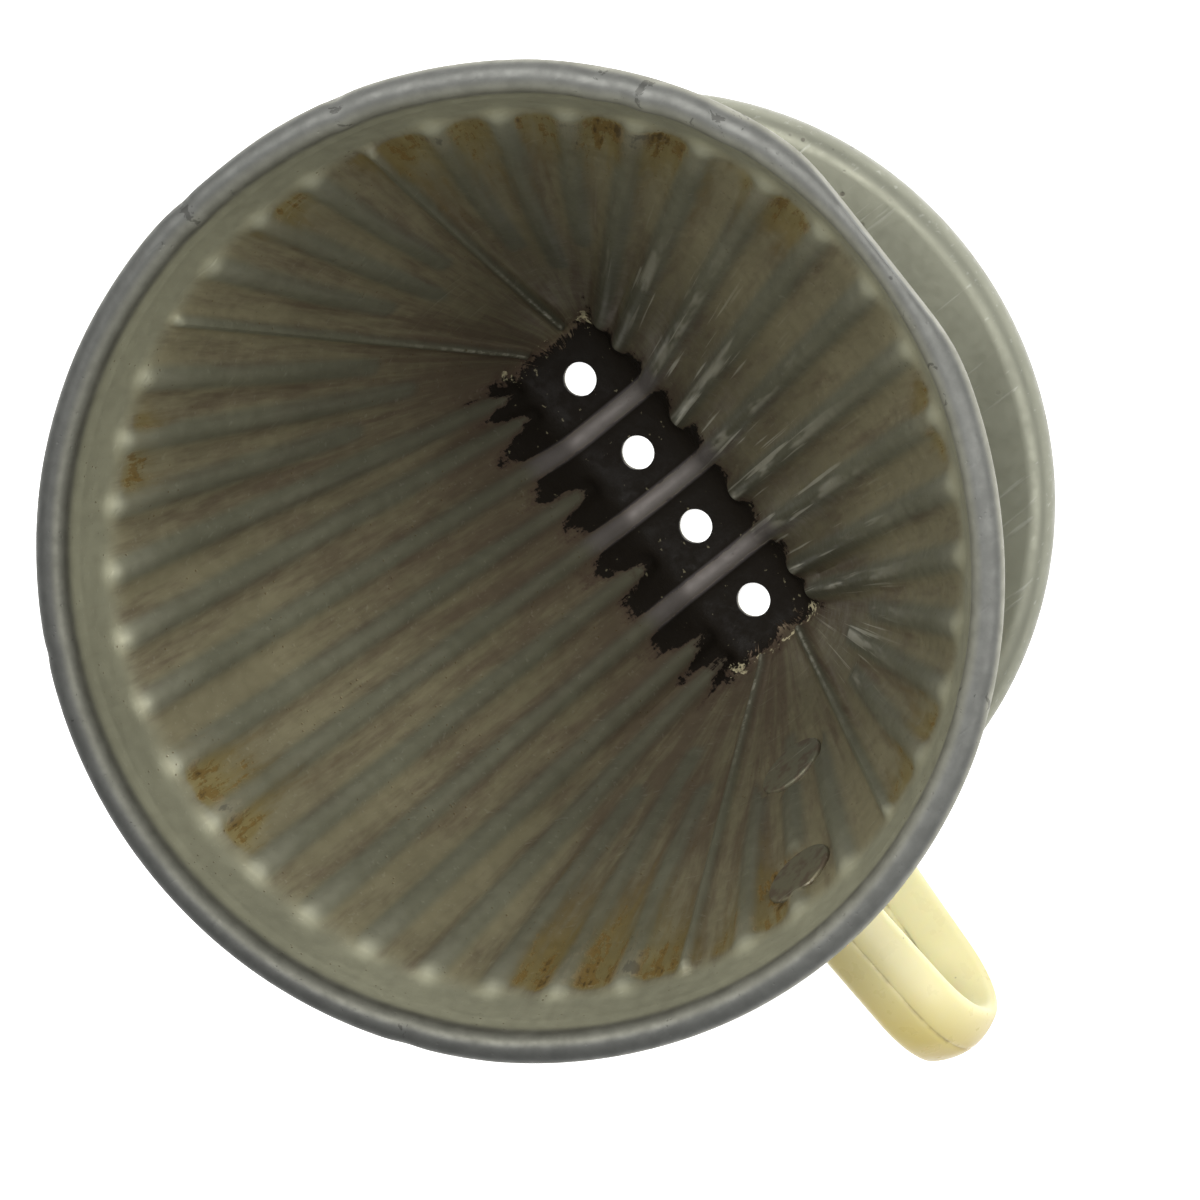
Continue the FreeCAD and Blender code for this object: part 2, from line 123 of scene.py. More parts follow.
class HandleSettings(bpy.types.PropertyGroup):
    thickness: length("Thickness", "Band thickness at its middle", 4.6 * MM)
    edge: length("Edge", "Band thickness at its edges", 1.1 * MM)
    width_upper: length("Upper width", "Band width at the upper arm", 9.4 * MM)
    width_lower: length("Lower width", "Band width at the lower arm", 11.0 * MM)
    loop_radius: length("Loop radius", "Outside radius of the loop's end", 11.3 * MM)
    loop_height: length("Loop height", "Middle of the loop's end", 49.0 * MM)
    reach: length("Reach", "End of the loop from the cone's axis", HANDLE_HIGH.x)
    foot: length("Foot radius", "Radius of each foot", 5.75 * MM)
    ivory: colour("Ivory", "Fresh face of the plastic", (0.920, 0.880, 0.560))
    amber: colour("Aged", "Yellowed plastic", (0.345, 0.245, 0.020))
    dirt: colour("Dirt", "Dirt in the parting line", (0.120, 0.080, 0.025))


class RivetSettings(bpy.types.PropertyGroup):
    upper: length("Upper rivet", "Height of the upper rivet on the wall", 62.0 * MM)
    lower: length("Lower rivet", "Height of the lower rivet on the wall", 35.6 * MM)
    head: length("Head radius", "Radius of the flush head", 4.6 * MM)
    proud: length("Head height", "How far the head stands off the wall", 0.32 * MM)
    sunk: length("Spot depth", "Depth of the flattened spot under a head", 0.25 * MM)
    shank: length("Shank", "Diameter of the shank", 3.5 * MM)
    reach: length("Shank length", "From the wall's inside face", 7.5 * MM)


# ---- the wall's geometry --------------------------------------------------------------------
SHORT_RIBS = {5: 0.59, 6: 0.73, 7: 0.60, 9: 0.54, 10: 0.62}  # share of the slope they reach
SHORT_RIB_KNEE = 0.62        # where along its length a short rib starts to fade
RIB_START = 0.03
END_RIB_PITCH = 1.5 * MM
FLOOR_RIDGES = (0, 2)
TROUGH_ROUNDING = 2.0 * MM
CURL_TURN = radians(290)
FLOOR_LIFT = 0.03 * MM
CREASE_RIB = 8               # the narrow ribs that run to the trough's corners
CREASE_SHARE = 0.5           # of the width of the others
FLOOR_INSET = 1.7 * MM       # of the trough's floor from the foot of the wall
SPOT_RADIUS = 4.9 * MM       # of the flattened spot under a rivet's head
DULL_SPECULAR = 0.06         # of the aged aluminium
BRASS_LIGHT, BRASS_DARK = (0.60, 0.42, 0.15), (0.42, 0.28, 0.10)


class Wall:
    """Formulas for the inner face of the cone, shared by the cone, plate, rivets and handle."""

    def __init__(self, cone, rivets):
        self.cone, self.rivets = cone, rivets
        self.quarter = cone.rib_count // 4
        self.bead = cone.bead / 2
        self.bead_centre = cone.rim_radius - self.bead
        self.rim_height = cone.rim_top - self.bead
        self.mouth = self.bead_centre - self.bead
        self.band_radius = self.mouth - cone.band_taper
        self.band_foot = self.rim_height - cone.band
        self.foot = cone.sheet + TROUGH_ROUNDING
        self.half_length = cone.trough_length / 2
        self.half_width = cone.trough_width / 2
        self.long_straight = self.half_length - cone.trough_corner
        self.short_straight = self.half_width - cone.trough_corner
        self.long_break = self.long_straight / cone.rib_pitch
        self.short_break = self.quarter - self.short_straight / END_RIB_PITCH
        slope = atan2(self.band_radius - self.half_length, self.band_foot - self.foot)
        self.end_normal = Vector((cos(slope), 0, -sin(slope)))

    def top_point(self, rib):
        """rib counts from the Y axis in the first quarter and need not be whole."""
        angle = pi / 2 - rib * pi / (2 * self.quarter)
        radius = self.band_radius
        return np.array((radius * cos(angle), radius * sin(angle), self.band_foot))

    def trough_point(self, rib, inset, height):
        """Point of the trough's outline, inset from the foot of the wall."""
        corner = max(self.cone.trough_corner - inset, 0.3 * MM)
        long, short = self.half_length - inset - corner, self.half_width - inset - corner
        if rib <= self.long_break:
            x = min(rib * self.cone.rib_pitch, long)
            return np.array((x, self.half_width - inset, height))
        if rib >= self.short_break:
            y = (self.quarter - rib) * END_RIB_PITCH
            return np.array((self.half_length - inset, min(y, short), height))
        turn = pi / 2 * (1 - (rib - self.long_break) / (self.short_break - self.long_break))
        return np.array((long + corner * cos(turn), short + corner * sin(turn), height))

    def rib_at(self, sine):
        """Which rib lies in the direction with this sine from the X axis."""
        return degrees(acos(min(1.0, abs(sine)))) * self.quarter / 90

    def rivet_point(self, height):
        share = (self.band_foot - height) / (self.band_foot - self.foot)
        x = self.band_radius + (self.half_length - self.band_radius) * share
        return Vector((x, 0, height))

    def rivet_points(self):
        return [self.rivet_point(self.rivets.upper), self.rivet_point(self.rivets.lower)]

    def foot_points(self):
        """Where the handle's feet stand on the outside of the wall."""
        depth = self.rivets.sunk + self.cone.sheet
        return [point + self.end_normal * depth for point in self.rivet_points()]


def ease(value):
    value = np.clip(value, 0.0, 1.0)
    return value * value * (3 - 2 * value)


def hill(value, half):
    """One at nought, falling away smoothly on both sides."""
    return np.exp(-(value / half) ** 2)


def turned(angle, middle):
    """Degrees from the middle to the angle, the short way round."""
    return (angle - middle + 180) % 360 - 180


# ---- small modelling helpers ----------------------------------------------------------------
def deselect():
    if bpy.context.object and bpy.context.object.mode != "OBJECT":
        bpy.ops.object.mode_set(mode="OBJECT")
    bpy.ops.object.select_all(action="DESELECT")


def make_active(obj):
    deselect()
    obj.select_set(True)
    bpy.context.view_layer.objects.active = obj


@contextmanager
def all_selected(obj):
    """Edit mode with the whole mesh selected."""
    make_active(obj)
    bpy.ops.object.mode_set(mode="EDIT")
    bpy.ops.mesh.select_all(action="SELECT")
    yield
    bpy.ops.object.mode_set(mode="OBJECT")


def named(obj, name):
    obj.name = obj.data.name = name
    return obj


def apply_place(obj):
    make_active(obj)
    bpy.ops.object.transform_apply(location=True, rotation=True, scale=True)


def apply_modifiers(obj):
    make_active(obj)
    for modifier in list(obj.modifiers):
        bpy.ops.object.modifier_apply(modifier=modifier.name)


def clean(obj, distance=1e-6, outward=False):
    with all_selected(obj):
        bpy.ops.mesh.remove_doubles(threshold=distance)
        if outward:
            bpy.ops.mesh.normals_make_consistent(inside=False)


def flip_if(obj, facing):
    """Flips all faces when most of their area faces the wrong way."""
    if sum(facing(face) * face.area for face in obj.data.polygons) < 0:
        with all_selected(obj):
            bpy.ops.mesh.flip_normals()


def point_along(obj, direction):
    obj.rotation_euler = direction.to_track_quat("Z", "Y").to_euler()
    apply_place(obj)


def rod(centre, direction, radius, depth, sides):
    bpy.ops.mesh.primitive_cylinder_add(vertices=sides, radius=radius, depth=depth, location=centre)
    piece = bpy.context.object
    point_along(piece, direction)
    return piece


def cut_away(obj, tool):
    cut = obj.modifiers.new("cut", "BOOLEAN")
    cut.operation, cut.solver, cut.object = "DIFFERENCE", "EXACT", tool
    apply_modifiers(obj)
    bpy.data.objects.remove(tool)


def nearest(obj, points):
    """For each vertex, which of the points is nearest, and how far off it is."""
    tree = KDTree(len(points))
    for index, point in enumerate(points):
        tree.insert(point, index)
    tree.balance()
    found = [tree.find(vertex.co) for vertex in obj.data.vertices]
    return np.array([hit[1] for hit in found]), np.array([hit[2] for hit in found])


def smooth_by_angle(obj, angle=40):
    make_active(obj)
    bpy.ops.object.shade_smooth_by_angle(angle=radians(angle))


def spun_piece(name, outline, steps):
    """An outline of (radius, height) points spun once round the Z axis."""
    bpy.ops.mesh.primitive_circle_add(vertices=3, radius=0.001)
    obj = named(bpy.context.object, name)
    mesh = bmesh.new()
    verts = [mesh.verts.new((radius, 0, height)) for radius, height in outline]
    for first, second in zip(verts[:-1], verts[1:]):
        mesh.edges.new((first, second))
    mesh.to_mesh(obj.data)
    mesh.free()
    with all_selected(obj):
        bpy.ops.mesh.spin(steps=steps, angle=2 * pi, center=(0, 0, 0), axis=(0, 0, 1))
    clean(obj, outward=True)
    return obj


def arc_points(centre, radius, start, end, steps):
    turns = np.linspace(radians(start), radians(end), steps + 1)
    return [(centre[0] + radius * cos(t), centre[1] + radius * sin(t)) for t in turns]


def finished(obj, material, smooth, node):
    """Smooths and colours a piece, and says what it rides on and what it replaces."""
    smooth_by_angle(obj, smooth)
    obj.data.materials.clear()
    obj.data.materials.append(material)
    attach(obj, "root")
    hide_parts(node)


def write_attribute(obj, name, values):
    values = np.asarray(values, np.float32)
    kind = "FLOAT_VECTOR" if values.ndim == 2 else "FLOAT"
    attribute = obj.data.attributes.new(name, kind, "POINT")
    attribute.data.foreach_set("vector" if values.ndim == 2 else "value", values.ravel())


# ---- shader helpers -------------------------------------------------------------------------
class Value:
    """A shader socket with arithmetic of its own, so that a mask reads as a formula."""

    def __init__(self, graph, socket):
        self.graph, self.socket = graph, socket

    def __add__(self, other):
        return self.graph.math("ADD", self, other)

    def __sub__(self, other):
        return self.graph.math("SUBTRACT", self, other)

    def __rsub__(self, other):
        return self.graph.math("SUBTRACT", other, self)

    def __mul__(self, other):
        return self.graph.math("MULTIPLY", self, other)

    def most(self, other):
        """The greater of the two."""
        return self.graph.math("MAXIMUM", self, other)

    def step(self, low, high, out_low=0.0, out_high=1.0):
        """A smooth step, from out_low at low to out_high at high."""
        inputs = {"Value": self, "From Min": low, "From Max": high,
                  "To Min": out_low, "To Max": out_high}
        return self.graph.make("ShaderNodeMapRange", inputs, "Result",
                               interpolation_type="SMOOTHSTEP")


class Graph:
    """Short calls for the nodes that the finishes use."""

    def __init__(self, tree):
        self.tree = tree

    def node(self, kind, inputs, **settings):
        node = self.tree.nodes.new(kind)
        for key, value in settings.items():
            setattr(node, key, value)
        for key, value in inputs.items():
            self.put(node.inputs[key], value)
        return node

    def put(self, socket, value):
        if isinstance(value, Value):
            self.tree.links.new(value.socket, socket)
        else:
            socket.default_value = value

    def make(self, kind, inputs, output, **settings):
        """A new node, seen through one of its outputs."""
        return Value(self, self.node(kind, inputs, **settings).outputs[output])

    def math(self, operation, first, second=0.0):
        return self.make("ShaderNodeMath", {0: first, 1: second}, 0, operation=operation)

    def mix(self, factor, first, second, blend="MIX"):
        """Mixes two colours, each a shader value or three numbers."""
        node = self.node("ShaderNodeMix", {"Factor": factor}, data_type="RGBA", blend_type=blend)
        colours = [socket for socket in node.inputs if socket.type == "RGBA"]
        for socket, value in zip(colours, (first, second)):
            self.put(socket, value if isinstance(value, Value) else (*value, 1.0))
        return Value(self, next(socket for socket in node.outputs if socket.type == "RGBA"))

    def place(self):
        return self.make("ShaderNodeTexCoord", {}, "Object")

    def attribute(self, name, output="Fac"):
        return self.make("ShaderNodeAttribute", {}, output, attribute_name=name)

    def attributes(self, names):
        return (self.attribute(name) for name in names.split())

    def noise(self, vector, scale, detail=3.0, rough=0.55, distort=0.0):
        inputs = {"Vector": vector, "Scale": scale, "Detail": detail,
                  "Roughness": rough, "Distortion": distort}
        return self.make("ShaderNodeTexNoise", inputs, "Fac")

    def stretched(self, vector, scale, turn=(0, 0, 0)):
        inputs = {"Vector": vector, "Scale": scale, "Rotation": turn}
        return self.make("ShaderNodeMapping", inputs, "Vector")


def shared_group(name, inputs, outputs, fill):
    """A node group that several finishes use; fill joins its inputs to its outputs."""
    if name in bpy.data.node_groups:
        return bpy.data.node_groups[name]
    tree = bpy.data.node_groups.new(name, "ShaderNodeTree")
    for way, labels in (("INPUT", inputs), ("OUTPUT", outputs)):
        for label in labels:
            socket = tree.interface.new_socket(name=label, in_out=way, socket_type="NodeSocketFloat")
            socket.default_value = inputs.get(label, 0.0)
    graph = Graph(tree)
    source, sink = tree.nodes.new("NodeGroupInput"), tree.nodes.new("NodeGroupOutput")
    masks = fill(graph, {label: Value(graph, source.outputs[label]) for label in inputs})
    for label, value in masks.items():
        graph.put(sink.inputs[label], value)
    return tree


def scratches_fill(graph, source):
    """Fine hairline scratches in three directions."""
    place, total = graph.place(), 0.0
    for turn in ((0.3, 0.2, 0.5), (1.1, 0.7, 2.0), (0.6, 1.9, 1.2)):
        path = graph.stretched(place, (1.0, 0.05, 1.0), turn)
        line = graph.noise(path, source["Scale"], 2.0, 0.5).step(0.66, 0.76)
        total = graph.math("MAXIMUM", total, line)
    return {"Mask": total * source["Amount"]}


def specks_fill(graph, source):
    """Small pits and specks of dirt, scattered by clumps."""
    place = graph.place()
    cell = graph.make("ShaderNodeTexVoronoi", {"Vector": place, "Scale": source["Scale"]}, "Distance")
    clump = graph.noise(place, source["Clumps"], 2.0, 0.5)
    dot = cell.step(source["Size"], source["Size"] * 1.6, 1.0, 0.0)
    return {"Mask": dot * clump.step(0.52, 0.62)}


def mottle_fill(graph, source):
    """Broad uneven tone, and a finer grain."""
    place = graph.place()
    return {label: graph.noise(place, source["Scale"] * factor, 4.0, 0.5)
            for label, factor in (("Tone", 1.0), ("Grain", 14.0))}


GROUPS = {"hairline_scratches": ({"Scale": 1300.0, "Amount": 0.5}, ["Mask"], scratches_fill),
          "dirt_specks": ({"Scale": 300.0, "Size": 0.12, "Clumps": 40.0}, ["Mask"], specks_fill),
          "uneven_tone": ({"Scale": 30.0}, ["Tone", "Grain"], mottle_fill)}


class Finish(Graph):
    """A new material, with the uneven tone that each of them starts from."""

    def __init__(self, name, mottle_scale=None):
        self.material = bpy.data.materials.new(name)
        self.material.use_nodes = True
        super().__init__(self.material.node_tree)
        self.shader = self.tree.nodes["Principled BSDF"]
        if mottle_scale:
            self.tone, self.grain = self.group("uneven_tone", Scale=mottle_scale)

    def group(self, name, **inputs):
        node = self.node("ShaderNodeGroup", {}, node_tree=shared_group(name, *GROUPS[name]))
        for key, value in inputs.items():
            self.put(node.inputs[key], value)
        return [Value(self, socket) for socket in node.outputs]

    def scratches(self, scale, amount):
        return self.group("hairline_scratches", Scale=scale, Amount=amount)[0]

    def specks(self, scale, size, clumps):
        return self.group("dirt_specks", Scale=scale, Size=size, Clumps=clumps)[0]

    def coat(self, mask, tint):
        """Lays a colour over the base where the mask is."""
        self.base = self.mix(mask, self.base, tint)

    def shaded(self, level):
        """The base made lighter or darker by a level."""
        grey = self.make("ShaderNodeCombineColor", {0: level, 1: level, 2: level}, 0)
        return self.mix(1.0, self.base, grey, "MULTIPLY")

    def done(self, inputs, height=None, depth=0.0, strength=1.0):
        """Fills in the shader and returns the material; height and depth are the bump's."""
        inputs = {"Base Color": self.base, **inputs}
        if height is not None:
            bump = {"Height": height, "Distance": depth, "Strength": strength}
            inputs["Normal"] = self.make("ShaderNodeBump", bump, "Normal")
        for name, value in inputs.items():
            self.put(self.shader.inputs[name], value)
        return self.material


def cone_finish(cone):
    """Aged aluminium: grey crests, brown valleys, coffee film, tar round the holes, limescale."""
    look = Finish("aged_cone_aluminium", 38.0)
    place, streak = look.place(), look.attribute("streak", "Vector")
    crest, lift, inside, crease, rim, bead, nick = look.attributes(
        "crest lift inside crease rim bead nick")
    stain, tar, lime, bare, polish, glaze, ring = look.attributes(
        "stain tar lime bare polish glaze ring")
    fine_streaks = look.noise(streak, 1000.0, 5.0, 0.68)
    long_streaks = look.noise(streak, 330.0, 3.0, 0.55, 0.3)
    ragged = look.noise(place, 560.0, 6.0, 0.68)

    # film: grey crests, beige valleys, a plain band, painted shade darker low in the cone and painted
    # light on the band, and red-brown film towards the trough
    dirty = (1.0 - crest.step(0.10, 0.75)) * inside
    low = (1.0 - crest.step(0.35, 1.0, 0.0, 0.8)) * inside
    look.base = look.mix(dirty, cone.crest, cone.valley)
    look.coat(lift.step(0.95, 1.01) * inside, cone.plain)
    look.base = look.shaded(look.tone.step(0.3, 0.72, 0.88, 1.12))
    # painted shade and light: the metal darker low in the cone and lighter up on the band
    painted_depth_shade = lift.step(0.02, 0.95, 0.95, 1.20) * lift.step(0.90, 1.04, 1.0, 1.34)
    look.coat(inside, look.shaded(painted_depth_shade))
    veil = long_streaks * 0.55 + fine_streaks * 0.45
    coffee = veil + (glaze * 0.26 + stain * 0.12)
    film = coffee.step(0.50, 0.76) * (low * lift.step(0.97, 1.0, 1.0, 0.2))
    look.coat(film * 0.62, cone.film)

    # coffee: amber film and ragged brown crust running down from the rim ends of the valleys
    amber = (stain * 0.55 + veil).step(0.68, 1.00) * low
    look.coat(amber * 0.48, cone.amber)
    crust = stain * 0.45 + (ragged * 0.50 + fine_streaks * 0.90) + ring * 0.24
    brown = crust.step(1.09, 1.16) * low
    look.coat(brown * 0.80, cone.brown)
    look.coat(crust.step(1.20, 1.27) * 0.55, cone.tar)

    # wear and painted highlights: bright dashed strokes down the lower +Y wall, painted highlight
    # lines along the rib crests and the crease ribs, painted highlights on the rib tips, hairlines
    # and pits
    strokes = look.noise(look.stretched(streak, (1.0, 1.0, 0.17)), 1500.0, 2.0, 0.5)
    wear_and_highlight = strokes.step(0.61, 0.68, 0.0, 0.8) * bare
    # painted highlight: broken light lines along the rib crests, stronger on the lower +Y wall
    edge = crest.step(0.72, 0.98) * long_streaks.step(0.47, 0.60)
    wear_and_highlight = wear_and_highlight.most(edge * (bare * 0.75 + 0.04))
    # painted highlight: broken bright lines along the narrow crease ribs low in the cone
    crease_highlight = crease.step(0.80, 0.98) * lift.step(0.08, 0.55, 1.0, 0.0) * ragged.step(0.44, 0.60)
    # painted highlight: bright spots at the upper ends of the ribs
    tip = crest.step(0.15, 0.95) * lift.step(0.84, 0.97)
    hair = look.scratches(1300.0, 0.3)
    for wear, strength in ((crease_highlight, 0.6), (tip, 0.17), (hair, 0.35)):
        wear_and_highlight = wear_and_highlight.most(wear * strength)
    look.coat(wear_and_highlight * 0.8, cone.bright)
    pits = look.specks(1000.0, 0.10, 150.0)
    look.coat(pits * 0.55, cone.brown)

    # trough: a brown fringe, black tar with pale flecks, limescale at both ends, bare ridges
    wander = look.noise(place, 260.0, 8.0, 0.74, 0.4) - 0.5
    drips = (look.noise(streak, 460.0, 6.0, 0.70) - 0.5) * (1.0 - lime)
    tar_edge = (tar + (ragged - 0.5) * 0.50) + (wander * 0.75 + drips)
    fringe = tar_edge.step(0.27, 0.50) * (1.0 - polish)
    look.coat(fringe * 0.70, cone.film)
    tar_mask = tar_edge.step(0.45, 0.52)
    look.coat(tar_mask, cone.tar)
    flecks = look.noise(place, 900.0, 3.0, 0.6).step(0.67, 0.71) * tar_mask
    look.coat(flecks * 0.22, cone.lime)
    grains = look.noise(place, 1500.0, 3.0, 0.6)
    lime_mask = (lime * 0.50 + (ragged * 0.8 + grains * 0.5)).step(1.13, 1.19)
    look.coat(lime_mask * 0.75, cone.lime)
    look.coat(polish * 0.75, cone.ridge)

    # rim: painted reflection, darker on its top and lighter on its sides, painted shade darker
    # towards -Y, with dark nicks
    off_top = look.math("ABSOLUTE", bead - 0.62)
    look.coat(rim, look.mix(off_top.step(0.08, 0.20), cone.bead_top_reflection, cone.bead_side_reflection))
    # painted shade: the rim darker towards -Y and lighter towards +Y, over a random mottle
    across = look.make("ShaderNodeSeparateXYZ", {0: place}, "Y")
    painted_side_shade = across.step(-cone.rim_radius, cone.rim_radius, 0.66, 1.22)
    spots = look.noise(place, 420.0, 5.0, 0.6).step(0.35, 0.65, 0.92, 1.08)
    look.coat(rim, look.shaded(spots * painted_side_shade))
    marks = look.math("GREATER_THAN", look.noise(place, 420.0, 5.0, 0.7, 0.8), 0.68 - nick * 0.13)
    look.coat(marks * rim * 0.45, cone.tar)

    # what is covered isn't metal, the tar is partly wet, and the crusts stand out
    cover = tar_mask.most(lime_mask.most(brown))
    metal = (1.0 - cover) * rim.most(polish).step(0.0, 1.0, 0.60, 0.70)
    rough = look.grain.step(0.3, 0.7, 0.42, 0.56) - wear_and_highlight * 0.12 + (rim * 0.06 + polish * 0.16)
    rough = (rough - (1.0 - inside) * 0.07).most(lime_mask * 0.8)
    rough = rough * (1.0 - tar_mask) + ragged.step(0.4, 0.6, 0.38, 0.7) * tar_mask
    crumbs = tar_mask * (ragged * 0.9 + 0.2)
    height = look.grain * 0.10 + brown * 0.25 + crumbs + lime_mask * (ragged * 0.6)
    height = height - (hair + pits) * 0.25 + fine_streaks * 0.10
    return look.done({"Metallic": metal, "Specular IOR Level": DULL_SPECULAR, "Roughness": rough},
                     height, 0.16 * MM, 0.9)


def plate_finish(plate):
    look = Finish("dull_plate_aluminium", 45.0)
    look.base = look.mix(look.tone.step(0.3, 0.7), plate.metal, [0.86 * c for c in plate.metal])
    hair, specks = look.scratches(1300.0, 0.5), look.specks(420.0, 0.10, 60.0)
    look.coat(hair * 0.35, plate.scratch)
    look.coat(specks * 0.75, plate.dirt)
    height = look.grain * 0.12 - (hair + specks) * 0.3
    return look.done({"Metallic": 0.6, "Roughness": look.grain.step(0.3, 0.7, 0.40, 0.52)},
                     height, 0.12 * MM, 0.8)


def handle_finish(handle):
    look = Finish("yellowed_ivory_plastic", 26.0)
    aged, parting, middle = look.attributes("aged parting middle")
    tone = look.tone.step(0.32, 0.68)
    # real yellowing mixed with painted light: the aged share keeps the loop's inner face pale ivory
    # where light comes through it
    share = tone * 0.08 + (aged * 0.90 + middle * (aged * tone) * 0.30)
    look.base = look.mix(share, handle.ivory, handle.amber)
    broken = look.noise(look.place(), 260.0, 3.0).step(0.40, 0.66)
    look.coat(parting * broken * 0.55, handle.dirt)
    hair, specks = look.scratches(1200.0, 0.5), look.specks(800.0, 0.07, 120.0)
    look.coat(specks * 0.4, handle.dirt)
    inputs = {"Roughness": look.grain.step(0.3, 0.7, 0.26, 0.36) + hair * 0.25,
              "Specular IOR Level": 0.35, "Subsurface Weight": 0.40, "Subsurface Scale": 0.5,
              "Subsurface Radius": (0.0060, 0.0048, 0.0020)}
    return look.done(inputs, look.grain * 0.08 - (hair + specks) * 0.2, 0.06 * MM, 0.7)


def rivet_finish(cone):
    look = Finish("flush_rivet_aluminium", 36.0)
    look.base = look.mix(look.tone.step(0.35, 0.65), cone.crest, cone.valley)
    hair = look.scratches(1600.0, 0.6)
    look.coat(look.grain.step(0.45, 0.62, 0.10, 0.65), cone.film)
    look.coat(hair * 0.4, cone.bright)
    inputs = {"Metallic": 0.60, "Specular IOR Level": DULL_SPECULAR,
              "Roughness": look.grain.step(0.3, 0.7, 0.48, 0.60)}
    return look.done(inputs, look.grain - hair, 0.03 * MM)


def bush_finish():
    look = Finish("turned_brass", 200.0)
    look.base = look.mix(look.tone.step(0.3, 0.7), BRASS_LIGHT, BRASS_DARK)
    return look.done({"Metallic": 1.0, "Roughness": look.grain.step(0.3, 0.7, 0.3, 0.45)})


# ---- the cone -------------------------------------------------------------------------------
COLUMN_PLACES = (-0.5, -0.36, -0.25, -0.18, -0.12, -0.06, 0.0, 0.06, 0.12, 0.18, 0.25, 0.36)
CURL_ROWS, BAND_ROWS, WALL_ROWS, ROUNDING_ROWS, FLOOR_ROWS = 18, 10, 46, 5, 7
RIM_NICKS = ((130, 0.45, 2.2), (124, 0.55, 1.6), (115, 0.40, 2.6), (161, 0.5, 1.2), (-177, 0.5, 1.2),
             (38, 0.3, 1.4), (-52, 0.3, 1.8), (-118, 0.3, 1.2))   # angle, depth mm, half length mm


def column_line(wall, place):
    """The inner face from the end of the rim's curl to the middle of the trough, at one column."""
    turn = place * 2 * pi / wall.cone.rib_count
    across, sideways = cos(turn), sin(turn)
    rib = wall.rib_at(sideways)
    flips = np.array((-1.0 if across < 0 else 1.0, -1.0 if sideways < 0 else 1.0, 1.0))
    ray = np.array((abs(across), abs(sideways)))
    rows = []
    for step in range(CURL_ROWS):
        angle = pi - CURL_TURN + CURL_TURN * step / CURL_ROWS
        radius = wall.bead_centre + wall.bead * cos(angle)
        rows.append((*(ray * radius), wall.rim_height + wall.bead * sin(angle)))
    for step in range(BAND_ROWS):
        share = step / BAND_ROWS
        radius = wall.mouth + (wall.band_radius - wall.mouth) * share
        rows.append((*(ray * radius), wall.rim_height - wall.cone.band * share))
    top, foot = wall.top_point(rib), wall.trough_point(rib, 0.0, wall.foot)
    for step in range(WALL_ROWS):
        even = step / WALL_ROWS
        share = even - 0.55 * sin(2 * pi * even) / (2 * pi)
        rows.append(top + (foot - top) * share)
    slope = (foot - top) / np.linalg.norm(foot - top)
    floor = wall.trough_point(rib, FLOOR_INSET, wall.cone.sheet + FLOOR_LIFT)
    knee = foot + slope * (foot[2] - floor[2]) * 0.7
    knee[2] = floor[2]
    for step in range(ROUNDING_ROWS):
        share = step / ROUNDING_ROWS
        rows.append((1 - share) ** 2 * foot + 2 * share * (1 - share) * knee + share ** 2 * floor)
    middle = np.array((min(floor[0], wall.long_straight - FLOOR_INSET), 0.0, floor[2]))
    for step in range(FLOOR_ROWS + 1):
        rows.append(floor + (middle - floor) * step / FLOOR_ROWS)
    return np.array(rows) * flips


def rib_lines(wall):
    """Start and end of every rib's middle line, with its height and half width at each end."""
    cone = wall.cone
    tall, low = cone.rib_height, cone.rib_height_foot
    halves = cone.rib_width / 2, cone.rib_width_foot / 2
    lines = []
    for rib in range(wall.quarter + 1):
        crease = rib == CREASE_RIB
        wide, narrow = (half * (CREASE_SHARE if crease else 1) for half in halves)
        top, foot = wall.top_point(rib), wall.trough_point(rib, 0.0, wall.foot)
        way, reach = foot - top, SHORT_RIBS.get(rib, 1.0)
        knee = reach * (SHORT_RIB_KNEE if reach < 1 else 1)
        height, width = tall + (low - tall) * knee, wide + (narrow - wide) * knee
        pieces = [(top + way * RIB_START, top + way * knee, (tall, height), (wide, width))]
        if reach < 1:
            pieces.append((top + way * knee, top + way * reach, (height, 0.0), (width, narrow)))
        if rib in FLOOR_RIDGES:
            floor = wall.trough_point(rib, FLOOR_INSET, cone.sheet)
            middle = np.array((floor[0], 0.0, floor[2]))
            pieces.append((foot, floor, (low, low), (narrow, narrow)))
            pieces.append((floor, middle, (low, low), (narrow, narrow)))
        for flip_x in ((1,) if rib == 0 else (1, -1)):
            for flip_y in ((1,) if rib == wall.quarter else (1, -1)):
                flip = np.array((flip_x, flip_y, 1))
                lines += [(start * flip, end * flip, heights, widths, crease)
                          for start, end, heights, widths in pieces]
    return lines


def rib_field(wall, points):
    """How far the ribs lift each point, that rise as a share, and the share due to creases."""
    rise, share, sharp = (np.zeros(len(points)) for _ in range(3))
    for start, end, heights, widths, crease in rib_lines(wall):
        reach = end - start
        along = np.clip((points - start) @ reach / (reach @ reach), 0, 1)
        gap = np.linalg.norm(points - start - along[:, None] * reach, axis=1)
        width = widths[0] + (widths[1] - widths[0]) * along
        height = heights[0] + (heights[1] - heights[0]) * along
        bulge = 0.5 * (1 + np.cos(pi * np.clip(gap / width, 0, 1)))
        rise = np.maximum(rise, height * bulge)
        share = np.maximum(share, bulge)
        if crease:
            sharp = np.maximum(sharp, bulge)
    return rise, share, sharp


def grid_normals(points):
    """Normals of a closed ring of columns, pointing into the cone."""
    across = np.roll(points, -1, axis=0) - np.roll(points, 1, axis=0)
    along = np.zeros_like(points)
    along[:, 1:-1] = points[:, 2:] - points[:, :-2]
    along[:, 0] = points[:, 1] - points[:, 0]
    along[:, -1] = points[:, -1] - points[:, -2]
    normals = np.cross(across, along)
    size = np.linalg.norm(normals, axis=2, keepdims=True)
    return normals / np.maximum(size, 1e-12)


